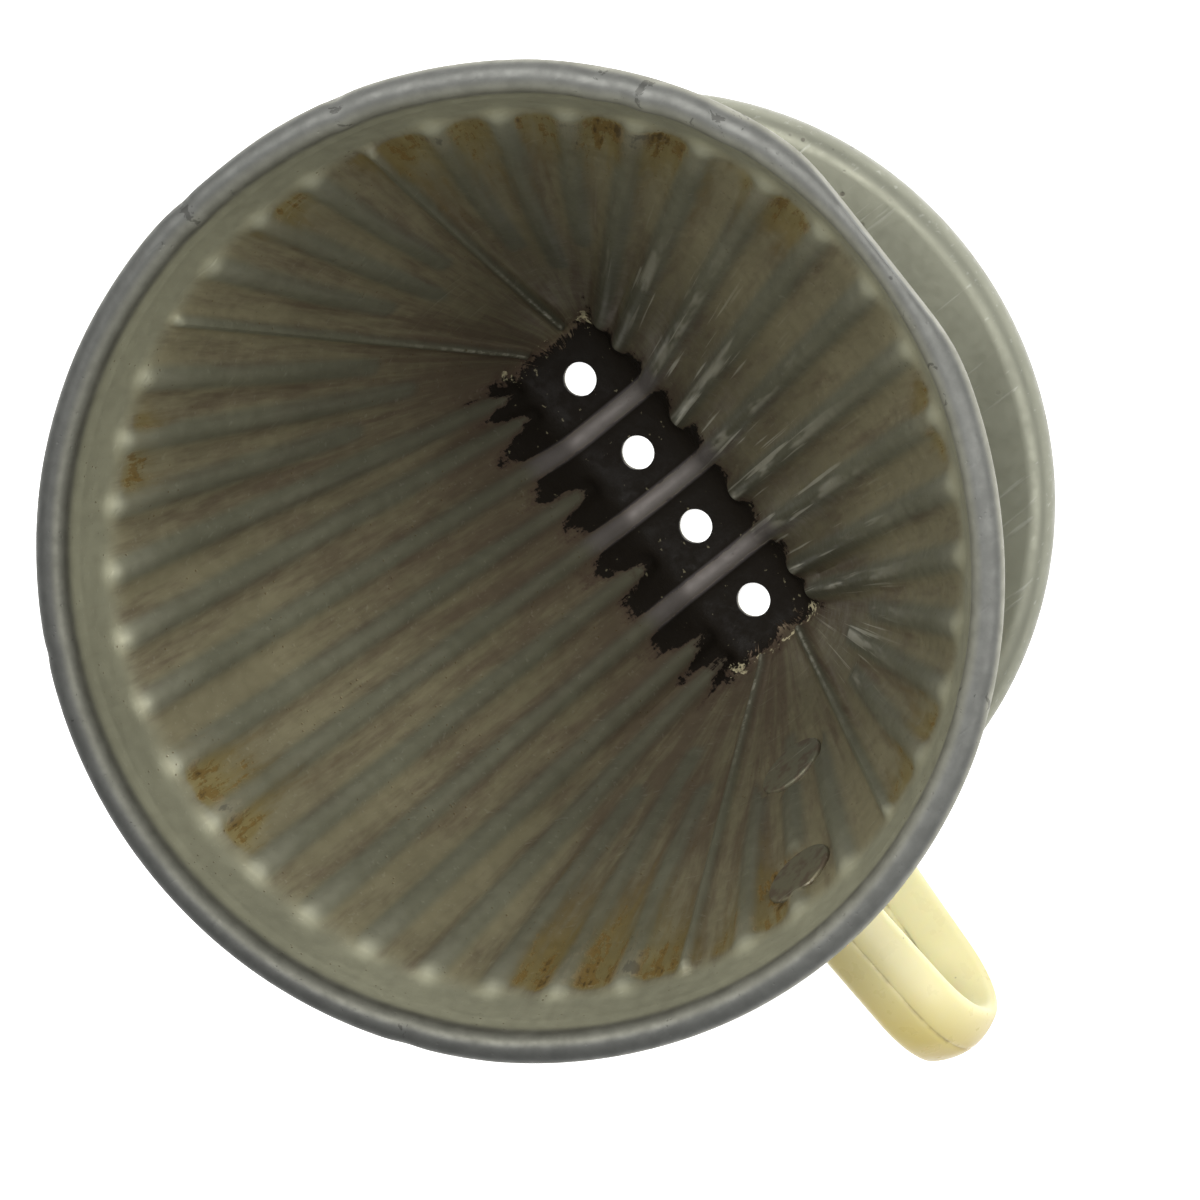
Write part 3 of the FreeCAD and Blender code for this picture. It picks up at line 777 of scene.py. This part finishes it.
def ease_rows(points, first, last, passes):
    """Rounds off a crease that runs round the cone between two rows."""
    for _ in range(passes):
        before, after = points[:, first - 1:last - 1], points[:, first + 1:last + 1]
        points[:, first:last] = (before + 2 * points[:, first:last] + after) / 4


def cone_points(wall):
    """All points of the inner face as [column][row], with the ribs pressed in."""
    places = [rib + offset for rib in range(wall.cone.rib_count) for offset in COLUMN_PLACES]
    base = np.array([column_line(wall, place) for place in places])
    rise, share, sharp = rib_field(wall, base.reshape(-1, 3))
    foot = CURL_ROWS + BAND_ROWS + WALL_ROWS
    ease_rows(base, CURL_ROWS + 2, CURL_ROWS + BAND_ROWS + 8, 5)
    ease_rows(base, foot - 9, foot + ROUNDING_ROWS + 5, 22)
    normals = grid_normals(base)
    flat = base.reshape(-1, 3)
    push = rise.copy()
    axis = np.array(wall.end_normal)
    for centre in wall.rivet_points():
        offset = flat - np.array(centre)
        aside = np.linalg.norm(offset - (offset @ axis)[:, None] * axis, axis=1)
        near = np.abs(offset @ axis) < 4 * MM
        spot = (1 - ease((aside - SPOT_RADIUS) / (0.7 * MM))) * near
        level = wall.rivets.sunk - offset @ axis
        push = push * (1 - spot) - level * spot
        share = share * (1 - spot)
    curl_end = CURL_ROWS + 1
    crease = np.zeros(len(base[0]))
    crease[curl_end + 1] = -0.12 * MM
    crease[curl_end + 2] = 0.05 * MM
    push = push.reshape(len(base), -1) + crease[None, :]
    shaped = base + normals * push[:, :, None]
    return base, shaped, share, sharp, places


BULGE_ANGLE, BULGE_HALF, BULGE = 114, 40, 2.1 * MM    # where the rim has been pushed out of round


def above_rim(wall, points):
    """One on the rolled rim and nought on the band below it."""
    return ease((points[:, 2] - wall.rim_height + 2 * MM) / MM)


def dent(wall, points):
    """Slight unevenness of the sheet, nicks in its rim, and one side pushed out of round."""
    flat = points.reshape(-1, 3)
    angle = np.degrees(np.arctan2(flat[:, 1], flat[:, 0]))
    radius = np.hypot(flat[:, 0], flat[:, 1])
    high = ease((flat[:, 2] - 0.004) / 0.02)
    wave = np.array([noise.noise(Vector((cos(radians(a)), sin(radians(a)), z * 8)) * 1.7)
                     for a, z in zip(angle, flat[:, 2])])
    shift = -np.abs(wave) * 0.35 * MM * high
    for middle, depth, half in RIM_NICKS:
        arc = np.radians(turned(angle, middle)) * radius
        above = ease((flat[:, 2] - wall.rim_height + 0.5 * MM) / MM)
        shift -= depth * MM * hill(arc, half * MM) * above * 0.5
    upper = ease((flat[:, 2] - 30 * MM) / (45 * MM))
    shift += BULGE * hill(turned(angle, BULGE_ANGLE), BULGE_HALF) * upper
    scale = 1 + shift / np.maximum(radius, 5 * MM)
    moved = flat.copy()
    moved[:, :2] *= scale[:, None]
    soft = 0.25 * MM
    limit = wall.cone.rim_radius - 0.1 * MM - wall.cone.sheet * (1 - above_rim(wall, flat))
    for axis, side in ((0, -1), (1, 1)):
        over = np.clip((side * moved[:, axis] - limit) / soft, -40, 40)
        moved[:, axis] -= side * soft * np.log1p(np.exp(over))
    return moved.reshape(points.shape)


def grid_piece(name, points):
    """A primitive grid whose vertices are moved to [column][row] points, closed on itself."""
    columns, rows = points.shape[0], points.shape[1] - 1
    deselect()
    bpy.ops.mesh.primitive_grid_add(x_subdivisions=columns, y_subdivisions=rows, size=2)
    obj = named(bpy.context.object, name)
    flat = np.empty(len(obj.data.vertices) * 3, np.float32)
    obj.data.vertices.foreach_get("co", flat)
    flat = flat.reshape(-1, 3)
    column = np.rint((flat[:, 0] + 1) / 2 * columns).astype(int) % columns
    row = np.rint((flat[:, 1] + 1) / 2 * rows).astype(int)
    flat[:] = points[column, row]
    obj.data.vertices.foreach_set("co", flat.ravel())
    obj.data.update()
    return obj


def cutter(wall):
    """Rods for the drip holes and the two rivet bores."""
    cone = wall.cone
    places = [(Vector(((2 * index - 3) * cone.rib_pitch, 0, 0)), Vector((0, 0, 1)), cone.hole / 2)
              for index in range(4)]
    bore = wall.rivets.shank / 2 + 0.2 * MM
    places += [(point, wall.end_normal, bore) for point in wall.rivet_points()]
    rods = [rod(centre, direction, radius, 12 * MM, 48) for centre, direction, radius in places]
    make_active(rods[0])
    for piece in rods:
        piece.select_set(True)
    bpy.ops.object.join()
    return rods[0]


STAINS = ((-142, 8, 0.85, 8), (-92, 9, 1.05, 12), (-30, 13, 1.08, 24), (-6, 9, 0.85, 20),
          (26, 9, 0.85, 16), (71, 6, 0.85, 7), (106, 7, 1.05, 12), (130, 14, 1.12, 20),
          (155, 10, 1.0, 24), (177, 6, 0.9, 10))   # angle, half angle, strength, length mm
TAR_SIDES = (8.9 * MM, 11.6 * MM)    # how far the tar reaches towards +Y and -Y
TAR_ENDS = (24.0 * MM, 23.6 * MM)    # and towards +X and -X
TAR_FADE, TAR_TOP, TAR_OFF_RIBS = 7 * MM, 14 * MM, 3.2 * MM
GLAZE_REACH = 17 * MM                # of the film round the tar


def cone_masks(wall, obj, base, shaped, share, sharp, places):
    """Writes where the cone is ribbed, stained, tarred, scaled and worn, point by point."""
    rows = base.shape[1]
    source, away = nearest(obj, shaped.reshape(-1, 3))
    inside = away < 0.45 * wall.cone.sheet
    column, row = source // rows, source % rows
    point = base.reshape(-1, 3)[source]
    turn = np.array(places)[column] * 2 * pi / wall.cone.rib_count
    slope = np.concatenate([np.zeros((len(base), 1)),
                            np.cumsum(np.linalg.norm(np.diff(base, axis=1), axis=2), axis=1)], axis=1)
    depth = slope[column, row] - slope[column, CURL_ROWS + BAND_ROWS]
    lift = np.clip((point[:, 2] - wall.cone.sheet) / (wall.band_foot - wall.cone.sheet), 0, 2)
    streak = np.stack([0.04 * np.cos(turn), 0.04 * np.sin(turn), depth * 0.14], axis=1)
    crest = share[source]
    angle = np.degrees(np.arctan2(point[:, 1], point[:, 0]))

    stain = np.zeros(len(point))
    for middle, half, strength, run in STAINS:
        fade = np.exp(-np.clip(depth - 4 * MM, 0, 1) / (run * MM))
        plateau = np.exp(-turned(angle, middle) ** 4 / (1.15 * half) ** 4)
        stain = np.maximum(stain, strength * plateau * fade)
    stain *= ease((depth - 1 * MM) / (2 * MM))

    across, along = np.abs(point[:, 1]), np.abs(point[:, 0])
    reach = np.where(point[:, 1] > 0, *TAR_SIDES) - TAR_OFF_RIBS * crest
    end = np.where(point[:, 0] > 0, *TAR_ENDS)
    tar = 0.5 + np.minimum(reach - across, 0.8 * (end - along)) / TAR_FADE
    tar = np.clip(tar, 0, 1) * (point[:, 2] < TAR_TOP)
    ridge = ease((crest - 0.30) / 0.45)
    middle_ribs = np.abs((point[:, 0] / wall.cone.rib_pitch + 1) % 2 - 1) < 0.3
    low_down = 1 - ease((point[:, 2] - 6.5 * MM) / (4 * MM))
    bare_ridge = ridge * middle_ribs * low_down * (along < 14.5 * MM)
    tar *= 1 - bare_ridge
    beyond = np.hypot(np.clip(across - reach, 0, 1), np.clip(along - end, 0, 1))
    glaze = np.exp(-beyond / GLAZE_REACH) * np.where(point[:, 1] > 0, 0.55, 1.0)
    ring = np.zeros(len(point))
    for centre in wall.rivet_points():
        aside = np.linalg.norm(point - np.array(centre), axis=1)
        ring = np.maximum(ring, hill(aside - 5.1 * MM, 0.9 * MM))
    rise = hill(point[:, 2] - 2.8 * MM, 1.6 * MM)
    lime = rise * ease((along - 22.6 * MM) / (2 * MM)) * np.where(point[:, 0] > 0, 1.0, 0.85)
    corner = np.hypot(along - 24.0 * MM, across - 6.3 * MM)
    lime = np.maximum(0.93 * lime, hill(corner, 2.6 * MM) * (point[:, 2] < 9 * MM))
    bare = ease((0.78 - lift) / 0.5) * ease((angle - 6) / 20) * ease((150 - angle) / 20)
    bare = np.clip(bare, 0, 1) * (across > 6 * MM)
    bead = np.clip(row / CURL_ROWS, 0, 1)
    rim = ease((CURL_ROWS + 1.5 - row) / 2.0)
    nick = np.zeros(len(point))
    for middle, depth, half in RIM_NICKS:
        nick = np.maximum(nick, depth * hill(turned(angle, middle), 0.9 * half))
    inner = {"tar": tar, "lime": lime, "bare": bare, "crease": sharp[source],
             "polish": bare_ridge, "glaze": glaze, "ring": ring}
    fields = {name: values * inside for name, values in inner.items()}
    fields.update({"stain": stain, "nick": 2 * nick * rim, "crest": crest, "lift": lift,
                   "inside": inside, "rim": rim, "bead": bead, "streak": streak})
    for name, values in fields.items():
        write_attribute(obj, name, values)


class DRIPPER_OT_cone(bpy.types.Operator):
    """Make the ribbed cone with its rolled rim, trough and drip holes"""
    bl_idname = "dripper.cone"
    bl_label = "Ribbed cone"

    def execute(self, context):
        scene = context.scene
        wall = Wall(scene.dripper_cone, scene.dripper_rivets)
        base, shaped, share, sharp, places = cone_points(wall)
        shaped = dent(wall, shaped)
        obj = grid_piece("ribbed_cone", shaped)
        clean(obj, 2e-6)
        flip_if(obj, lambda face: face.normal.dot(Vector((-face.center.x, -face.center.y, 0.02))))
        thick = obj.modifiers.new("sheet", "SOLIDIFY")
        thick.thickness = scene.dripper_cone.sheet
        thick.offset = -1.0
        thick.use_rim = True
        apply_modifiers(obj)
        cut_away(obj, cutter(wall))
        cone_masks(wall, obj, base, shaped, share, sharp, places)
        finished(obj, cone_finish(scene.dripper_cone), 42, "filter_cone")
        return {"FINISHED"}


# ---- the base plate -------------------------------------------------------------------------
def plate_outline(plate, sheet):
    """The upper face of the plate's section from the foot of the well to the edge."""
    top, inner = plate.seat + sheet, plate.well - sheet
    points = [(inner - 1.2 * MM, sheet)]
    points += arc_points((inner - 0.6 * MM, sheet + 0.6 * MM), 0.6 * MM, -90, 0, 4)
    points += [(inner, sheet + (top - sheet) * share) for share in (0.35, 0.7)]
    points += arc_points((inner + 1.2 * MM, top - 1.2 * MM), 1.2 * MM, 180, 90, 6)
    points += [(inner + (plate.radius - inner) * share, top) for share in (0.2, 0.4, 0.6, 0.76)]
    shoulder = plate.radius - plate.shoulder
    points += arc_points((shoulder, top - plate.shoulder), plate.shoulder, 90, 0, 12)
    points += [(plate.radius, top - plate.shoulder - plate.skirt)]
    return points


COLLAR_SPREAD = np.array((1.07, 1.19))    # room for the sheet's slope at the ends and the sides


class DRIPPER_OT_plate(bpy.types.Operator):
    """Make the round plate with its well, turned-down edge and the collar round the cone's foot"""
    bl_idname = "dripper.plate"
    bl_label = "Base plate"

    def execute(self, context):
        scene = context.scene
        plate, cone = scene.dripper_plate, scene.dripper_cone
        wall = Wall(cone, scene.dripper_rivets)
        sheet, steps = cone.sheet, 200
        deselect()
        obj = spun_piece("pressed_plate", plate_outline(plate, sheet), steps)
        mesh = bmesh.new()
        mesh.from_mesh(obj.data)
        low = min(v.co.z for v in mesh.verts if v.co.xy.length < plate.well)
        inner_radius = min(v.co.xy.length for v in mesh.verts)
        ring = [v for v in mesh.verts if abs(v.co.xy.length - inner_radius) < 1e-6]
        ring.sort(key=lambda v: atan2(v.co.y, v.co.x))
        outset = 0.05 * MM + 2 * sheet

        def outline(angle, height):
            """Outside of the cone at this height, in the direction of one of its rib lines."""
            rib = wall.rib_at(sin(angle))
            foot, top = wall.trough_point(rib, 0.0, wall.foot), wall.top_point(rib)
            share = (height - wall.foot) / (wall.band_foot - wall.foot)
            point = foot + (top - foot) * share
            grown = wall.trough_point(rib, -outset, wall.foot) - foot
            x, y = point[:2] + grown[:2] * COLLAR_SPREAD
            return (x if cos(angle) >= 0 else -x), (y if sin(angle) >= 0 else -y)

        rings = [ring]
        levels = [(0.35, 0.0), (0.7, 0.0), (1.0, 0.0), (1.0, 0.5), (1.0, 1.0)]
        for inward, up in levels:
            new = []
            for vertex in ring:
                angle = atan2(vertex.co.y, vertex.co.x)
                height = low + up * plate.collar
                x, y = outline(angle, max(height, wall.foot * 0.5))
                flat = Vector((x, y)) * inward + vertex.co.xy * (1 - inward)
                new.append(mesh.verts.new((flat.x, flat.y, height)))
            rings.append(new)
        for outer, inner in zip(rings[:-1], rings[1:]):
            for index in range(len(outer)):
                after = (index + 1) % len(outer)
                mesh.faces.new((outer[index], outer[after], inner[after], inner[index]))
        mesh.to_mesh(obj.data)
        mesh.free()
        clean(obj, outward=True)
        flip_if(obj, lambda face: face.normal.z)
        thick = obj.modifiers.new("sheet", "SOLIDIFY")
        thick.thickness, thick.offset, thick.use_even_offset = sheet, -1.0, True
        bevel = obj.modifiers.new("edges", "BEVEL")
        bevel.width, bevel.segments, bevel.limit_method = 0.18 * MM, 2, "ANGLE"
        bevel.angle_limit = radians(60)
        apply_modifiers(obj)
        for vertex in obj.data.vertices:
            vertex.co.z = max(vertex.co.z, 0.0)
        finished(obj, plate_finish(plate), 35, "base_plate")
        return {"FINISHED"}


# ---- the handle -----------------------------------------------------------------------------
def bezier(points, steps):
    first, second, third, fourth = (np.array(p) for p in points)
    shares = np.linspace(0, 1, steps + 1)[:-1, None]
    return ((1 - shares) ** 3 * first + 3 * shares * (1 - shares) ** 2 * second
            + 3 * shares ** 2 * (1 - shares) * third + shares ** 3 * fourth)


UPPER_TILT, LOWER_TILT, STRAIGHT = radians(11.3), radians(10.2), 9 * MM    # of the arms


def handle_path(handle, wall):
    """Middle line of the loop in the XZ plane, from the upper foot round to the lower."""
    centre = np.array((handle.reach - handle.loop_radius, handle.loop_height))
    middle = handle.loop_radius - handle.thickness / 2
    upper, lower = UPPER_TILT, LOWER_TILT
    normal = np.array((wall.end_normal.x, wall.end_normal.z))
    feet = [np.array((foot.x, foot.z)) for foot in wall.foot_points()]
    start = centre + middle * np.array((sin(upper), cos(upper)))
    end = centre + middle * np.array((sin(lower), -cos(lower)))
    upper_way = np.array((cos(upper), -sin(upper)))
    lower_way = np.array((-cos(lower), -sin(lower)))
    join_upper, join_lower = start - upper_way * STRAIGHT, end + lower_way * STRAIGHT
    path = list(bezier((feet[0], feet[0] + normal * 4 * MM,
                        join_upper - upper_way * 3 * MM, join_upper), 18))
    path += [join_upper + (start - join_upper) * s for s in np.linspace(0, 1, 9)[:-1]]
    turn = pi - upper - lower
    for share in np.linspace(0, 1, 33)[:-1]:
        angle = pi / 2 - upper - turn * share
        path.append(centre + middle * np.array((cos(angle), sin(angle))))
    path += [end + (join_lower - end) * s for s in np.linspace(0, 1, 9)[:-1]]
    path += list(bezier((join_lower, join_lower + lower_way * 6 * MM,
                         feet[1] + normal * 5 * MM, feet[1]), 22))
    path.append(feet[1])
    return np.array(path)


HALF_SPOTS = (1, 0.99, 0.97, 0.93, 0.86, 0.76, 0.62, 0.46, 0.30, 0.16, 0.06, 0.02, 0)
FACE_SPOTS = HALF_SPOTS + tuple(-spot for spot in HALF_SPOTS[-2::-1])
SECTION_STEPS = 2 * len(FACE_SPOTS) - 2
POCKET_RADIUS, POCKET_DEPTH = 2.95 * MM, 6.75 * MM    # for a bush, in each foot


def band_section(wide, thick, edge, roundness):
    """A closed section (across, outward): a band crowned on both faces, or at a foot a circle."""
    points = []
    for side, spots in ((1, FACE_SPOTS), (-1, FACE_SPOTS[-2:0:-1])):
        for spot in spots:
            across = wide * spot
            crown = edge + (thick - edge) * (1 - spot ** 2)
            lens = crown * min(1.0, (1 - abs(spot)) / 0.08) ** 0.5
            groove = 0.14 * MM * hill(across, 0.16 * MM)
            band = np.array((across, side * (lens - groove)))
            disc = np.array((across, side * thick * sqrt(1 - spot ** 2)))
            points.append(band * (1 - roundness) + disc * roundness)
    return points


class DRIPPER_OT_handle(bpy.types.Operator):
    """Make the moulded loop handle with its parting line and two feet"""
    bl_idname = "dripper.handle"
    bl_label = "Loop handle"

    def execute(self, context):
        scene = context.scene
        handle, wall = scene.dripper_handle, Wall(scene.dripper_cone, scene.dripper_rivets)
        path = handle_path(handle, wall)
        run = np.concatenate([[0], np.cumsum(np.linalg.norm(np.diff(path, axis=0), axis=1))])
        ways = np.gradient(path, axis=0)
        ways /= np.linalg.norm(ways, axis=1)[:, None]
        normal = np.array((wall.end_normal.x, wall.end_normal.z))
        ways[0], ways[-1] = normal, -normal
        rings, aged, parting, middle = [], [], [], []
        for index, (point, way) in enumerate(zip(path, ways)):
            share = run[index] / run[-1]
            from_foot = min(run[index], run[-1] - run[index])
            foot = 1 - ease(from_foot / (9.5 * MM))
            wide = (handle.width_upper + (handle.width_lower - handle.width_upper) * share) / 2
            wide = wide + (handle.foot - wide) * foot
            thick = handle.thickness / 2 + (handle.foot - handle.thickness / 2) * foot
            out = np.array((-way[1], way[0]))
            for across, outward in band_section(wide, thick, handle.edge / 2, foot):
                place = point + out * outward
                rings.append((place[0], across, place[1]))
                # aged: yellowing of the plastic, deepest at the loop's end, on the outer face and
                # towards the -Y edge; the inner face is kept pale ivory as painted light for the
                # light that comes through the loop
                tip = hill(share - 0.5, 0.16)
                old = 0.50 + 0.80 * tip - 0.30 * across / wide
                aged.append(0.06 + 0.5 * (1 + np.tanh(outward / MM)) * old)
                parting.append(hill(across, 0.17 * MM) * (1 - foot))
                middle.append(hill(across, 2.2 * MM))
        rings = np.array(rings).reshape(len(path), SECTION_STEPS, 3)
        obj = grid_piece("loop_handle", rings.transpose(1, 0, 2))
        clean(obj)
        with all_selected(obj):
            bpy.ops.mesh.select_all(action="DESELECT")
            bpy.ops.mesh.select_non_manifold()
            bpy.ops.mesh.fill_holes(sides=0)
            bpy.ops.mesh.select_all(action="SELECT")
            bpy.ops.mesh.normals_make_consistent(inside=False)
        pockets = []
        for foot in wall.foot_points():
            centre = foot + wall.end_normal * (POCKET_DEPTH / 2 - 1 * MM)
            pockets.append(rod(centre, wall.end_normal, POCKET_RADIUS, POCKET_DEPTH + 2 * MM, 40))
        for pocket in pockets:
            cut_away(obj, pocket)
        source, _ = nearest(obj, rings.reshape(-1, 3))
        for name, values in (("aged", aged), ("parting", parting), ("middle", middle)):
            write_attribute(obj, name, np.array(values)[source])
        finished(obj, handle_finish(handle), 38, "handle")
        return {"FINISHED"}


# ---- the rivets and bushes ------------------------------------------------------------------
class DRIPPER_OT_rivets(bpy.types.Operator):
    """Make the two flush rivets and finish the brass bushes they are driven into"""
    bl_idname = "dripper.rivets"
    bl_label = "Rivets and bushes"

    def execute(self, context):
        scene = context.scene
        rivets, wall = scene.dripper_rivets, Wall(scene.dripper_cone, scene.dripper_rivets)
        finish = rivet_finish(scene.dripper_cone)
        head, proud, sunk, shank = rivets.head, rivets.proud, rivets.sunk, rivets.shank / 2
        outline = [(0, -proud), (0.55 * head, -proud + 0.01 * MM), (0.86 * head, -proud + 0.03 * MM)]
        outline += arc_points((head - 0.3 * MM, -proud + 0.33 * MM), 0.3 * MM, -90, 0, 5)
        outline += [(head, sunk), (shank, sunk), (shank, rivets.reach - 0.4 * MM),
                    (shank - 0.4 * MM, rivets.reach), (0, rivets.reach)]
        for name, point in zip(("upper_rivet", "lower_rivet"), wall.rivet_points()):
            deselect()
            obj = spun_piece("flush_" + name, outline, 64)
            obj.location = point
            point_along(obj, wall.end_normal)
            finished(obj, finish, 35, name)
        brass = bush_finish()
        for name in ("upper_bush", "lower_bush"):
            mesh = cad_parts[name].data
            mesh.materials.clear()
            mesh.materials.append(brass)
        return {"FINISHED"}


# ---- the stage ------------------------------------------------------------------------------
VIEW_POINT = (31.66 * MM, 174.82 * MM, 652.70 * MM)
VIEW_RIGHT = (0.61723, 0.74802, -0.24392)
VIEW_UP = (-0.78586, 0.60112, -0.14517)
LENS, SENSOR = 155.52, 36.0
FLOOR_GREY, ROOM_TINT, ROOM_STRENGTH = (0.9, 0.9, 0.9), (0.95, 0.98, 1.0), 0.60
LAMPS = (("key_softbox", (-0.42, 0.12, 0.85), 8.0, 0.7),     # name, place, power, size
         ("fill_softbox", (0.40, 0.50, 0.85), 5.0, 0.8))
LAMPS_AIM = Vector((0, 0, 0.04))


class DRIPPER_OT_stage(bpy.types.Operator):
    """Make the pale floor, the soft lights and the camera"""
    bl_idname = "dripper.stage"
    bl_label = "Stage"

    def execute(self, context):
        deselect()
        bpy.ops.mesh.primitive_plane_add(size=6.0, location=(0, 0, -0.0002))
        floor = named(bpy.context.object, "pale_floor")
        apply_place(floor)
        look = Finish("pale_lit_floor")
        look.base = (*FLOOR_GREY, 1)
        floor.data.materials.append(look.done({"Roughness": 0.9, "Emission Color": (1.0, 1.0, 1.0, 1),
                                               "Emission Strength": 0.75}))
        world = bpy.data.worlds.new("soft_room")
        world.use_nodes = True
        back = world.node_tree.nodes["Background"]
        back.inputs["Color"].default_value = (*ROOM_TINT, 1)
        back.inputs["Strength"].default_value = ROOM_STRENGTH
        context.scene.world = world
        for name, place, power, size in LAMPS:
            bpy.ops.object.light_add(type="AREA", location=place)
            lamp = context.object
            lamp.name = name
            lamp.data.energy, lamp.data.shape, lamp.data.size = power, "DISK", size
            aim = LAMPS_AIM - Vector(place)
            lamp.rotation_euler = aim.to_track_quat("-Z", "Y").to_euler()
        bpy.ops.object.camera_add()
        camera = context.object
        camera.name = "camera_above"
        camera.data.lens, camera.data.sensor_width = LENS, SENSOR
        right, up = Vector(VIEW_RIGHT), Vector(VIEW_UP)
        turn = Matrix((right, up, right.cross(up))).transposed()
        camera.matrix_world = Matrix.Translation(VIEW_POINT) @ turn.to_4x4()
        context.scene.camera = camera
        context.scene.view_settings.view_transform = "Standard"
        return {"FINISHED"}


# ---- add-on ---------------------------------------------------------------------------------
class DRIPPER_PT_panel(bpy.types.Panel):
    """Lists the dripper's pieces"""
    bl_idname = "DRIPPER_PT_panel"
    bl_label = "Coffee dripper"
    bl_space_type = "VIEW_3D"
    bl_region_type = "UI"
    bl_category = "Dripper"

    def draw(self, context):
        for operator in OPERATORS:
            self.layout.operator(operator.bl_idname)
        for name in SETTINGS:
            box = self.layout.box()
            group = getattr(context.scene, name)
            for key in group.bl_rna.properties.keys():
                if key not in {"rna_type", "name"}:
                    box.prop(group, key)


SETTINGS = {"dripper_cone": ConeSettings, "dripper_plate": PlateSettings,
            "dripper_handle": HandleSettings, "dripper_rivets": RivetSettings}
OPERATORS = (DRIPPER_OT_cone, DRIPPER_OT_plate, DRIPPER_OT_handle, DRIPPER_OT_rivets,
             DRIPPER_OT_stage)


def register():
    for name, group in SETTINGS.items():
        bpy.utils.register_class(group)
        setattr(bpy.types.Scene, name, PointerProperty(type=group))
    for item in (*OPERATORS, DRIPPER_PT_panel):
        bpy.utils.register_class(item)


def unregister():
    for item in reversed((*OPERATORS, DRIPPER_PT_panel)):
        bpy.utils.unregister_class(item)
    for name, group in SETTINGS.items():
        delattr(bpy.types.Scene, name)
        bpy.utils.unregister_class(group)


def main():
    register()
    bpy.ops.dripper.cone()
    bpy.ops.dripper.plate()
    bpy.ops.dripper.handle()
    bpy.ops.dripper.rivets()
    bpy.ops.dripper.stage()


if __name__ == "__main__":
    main()
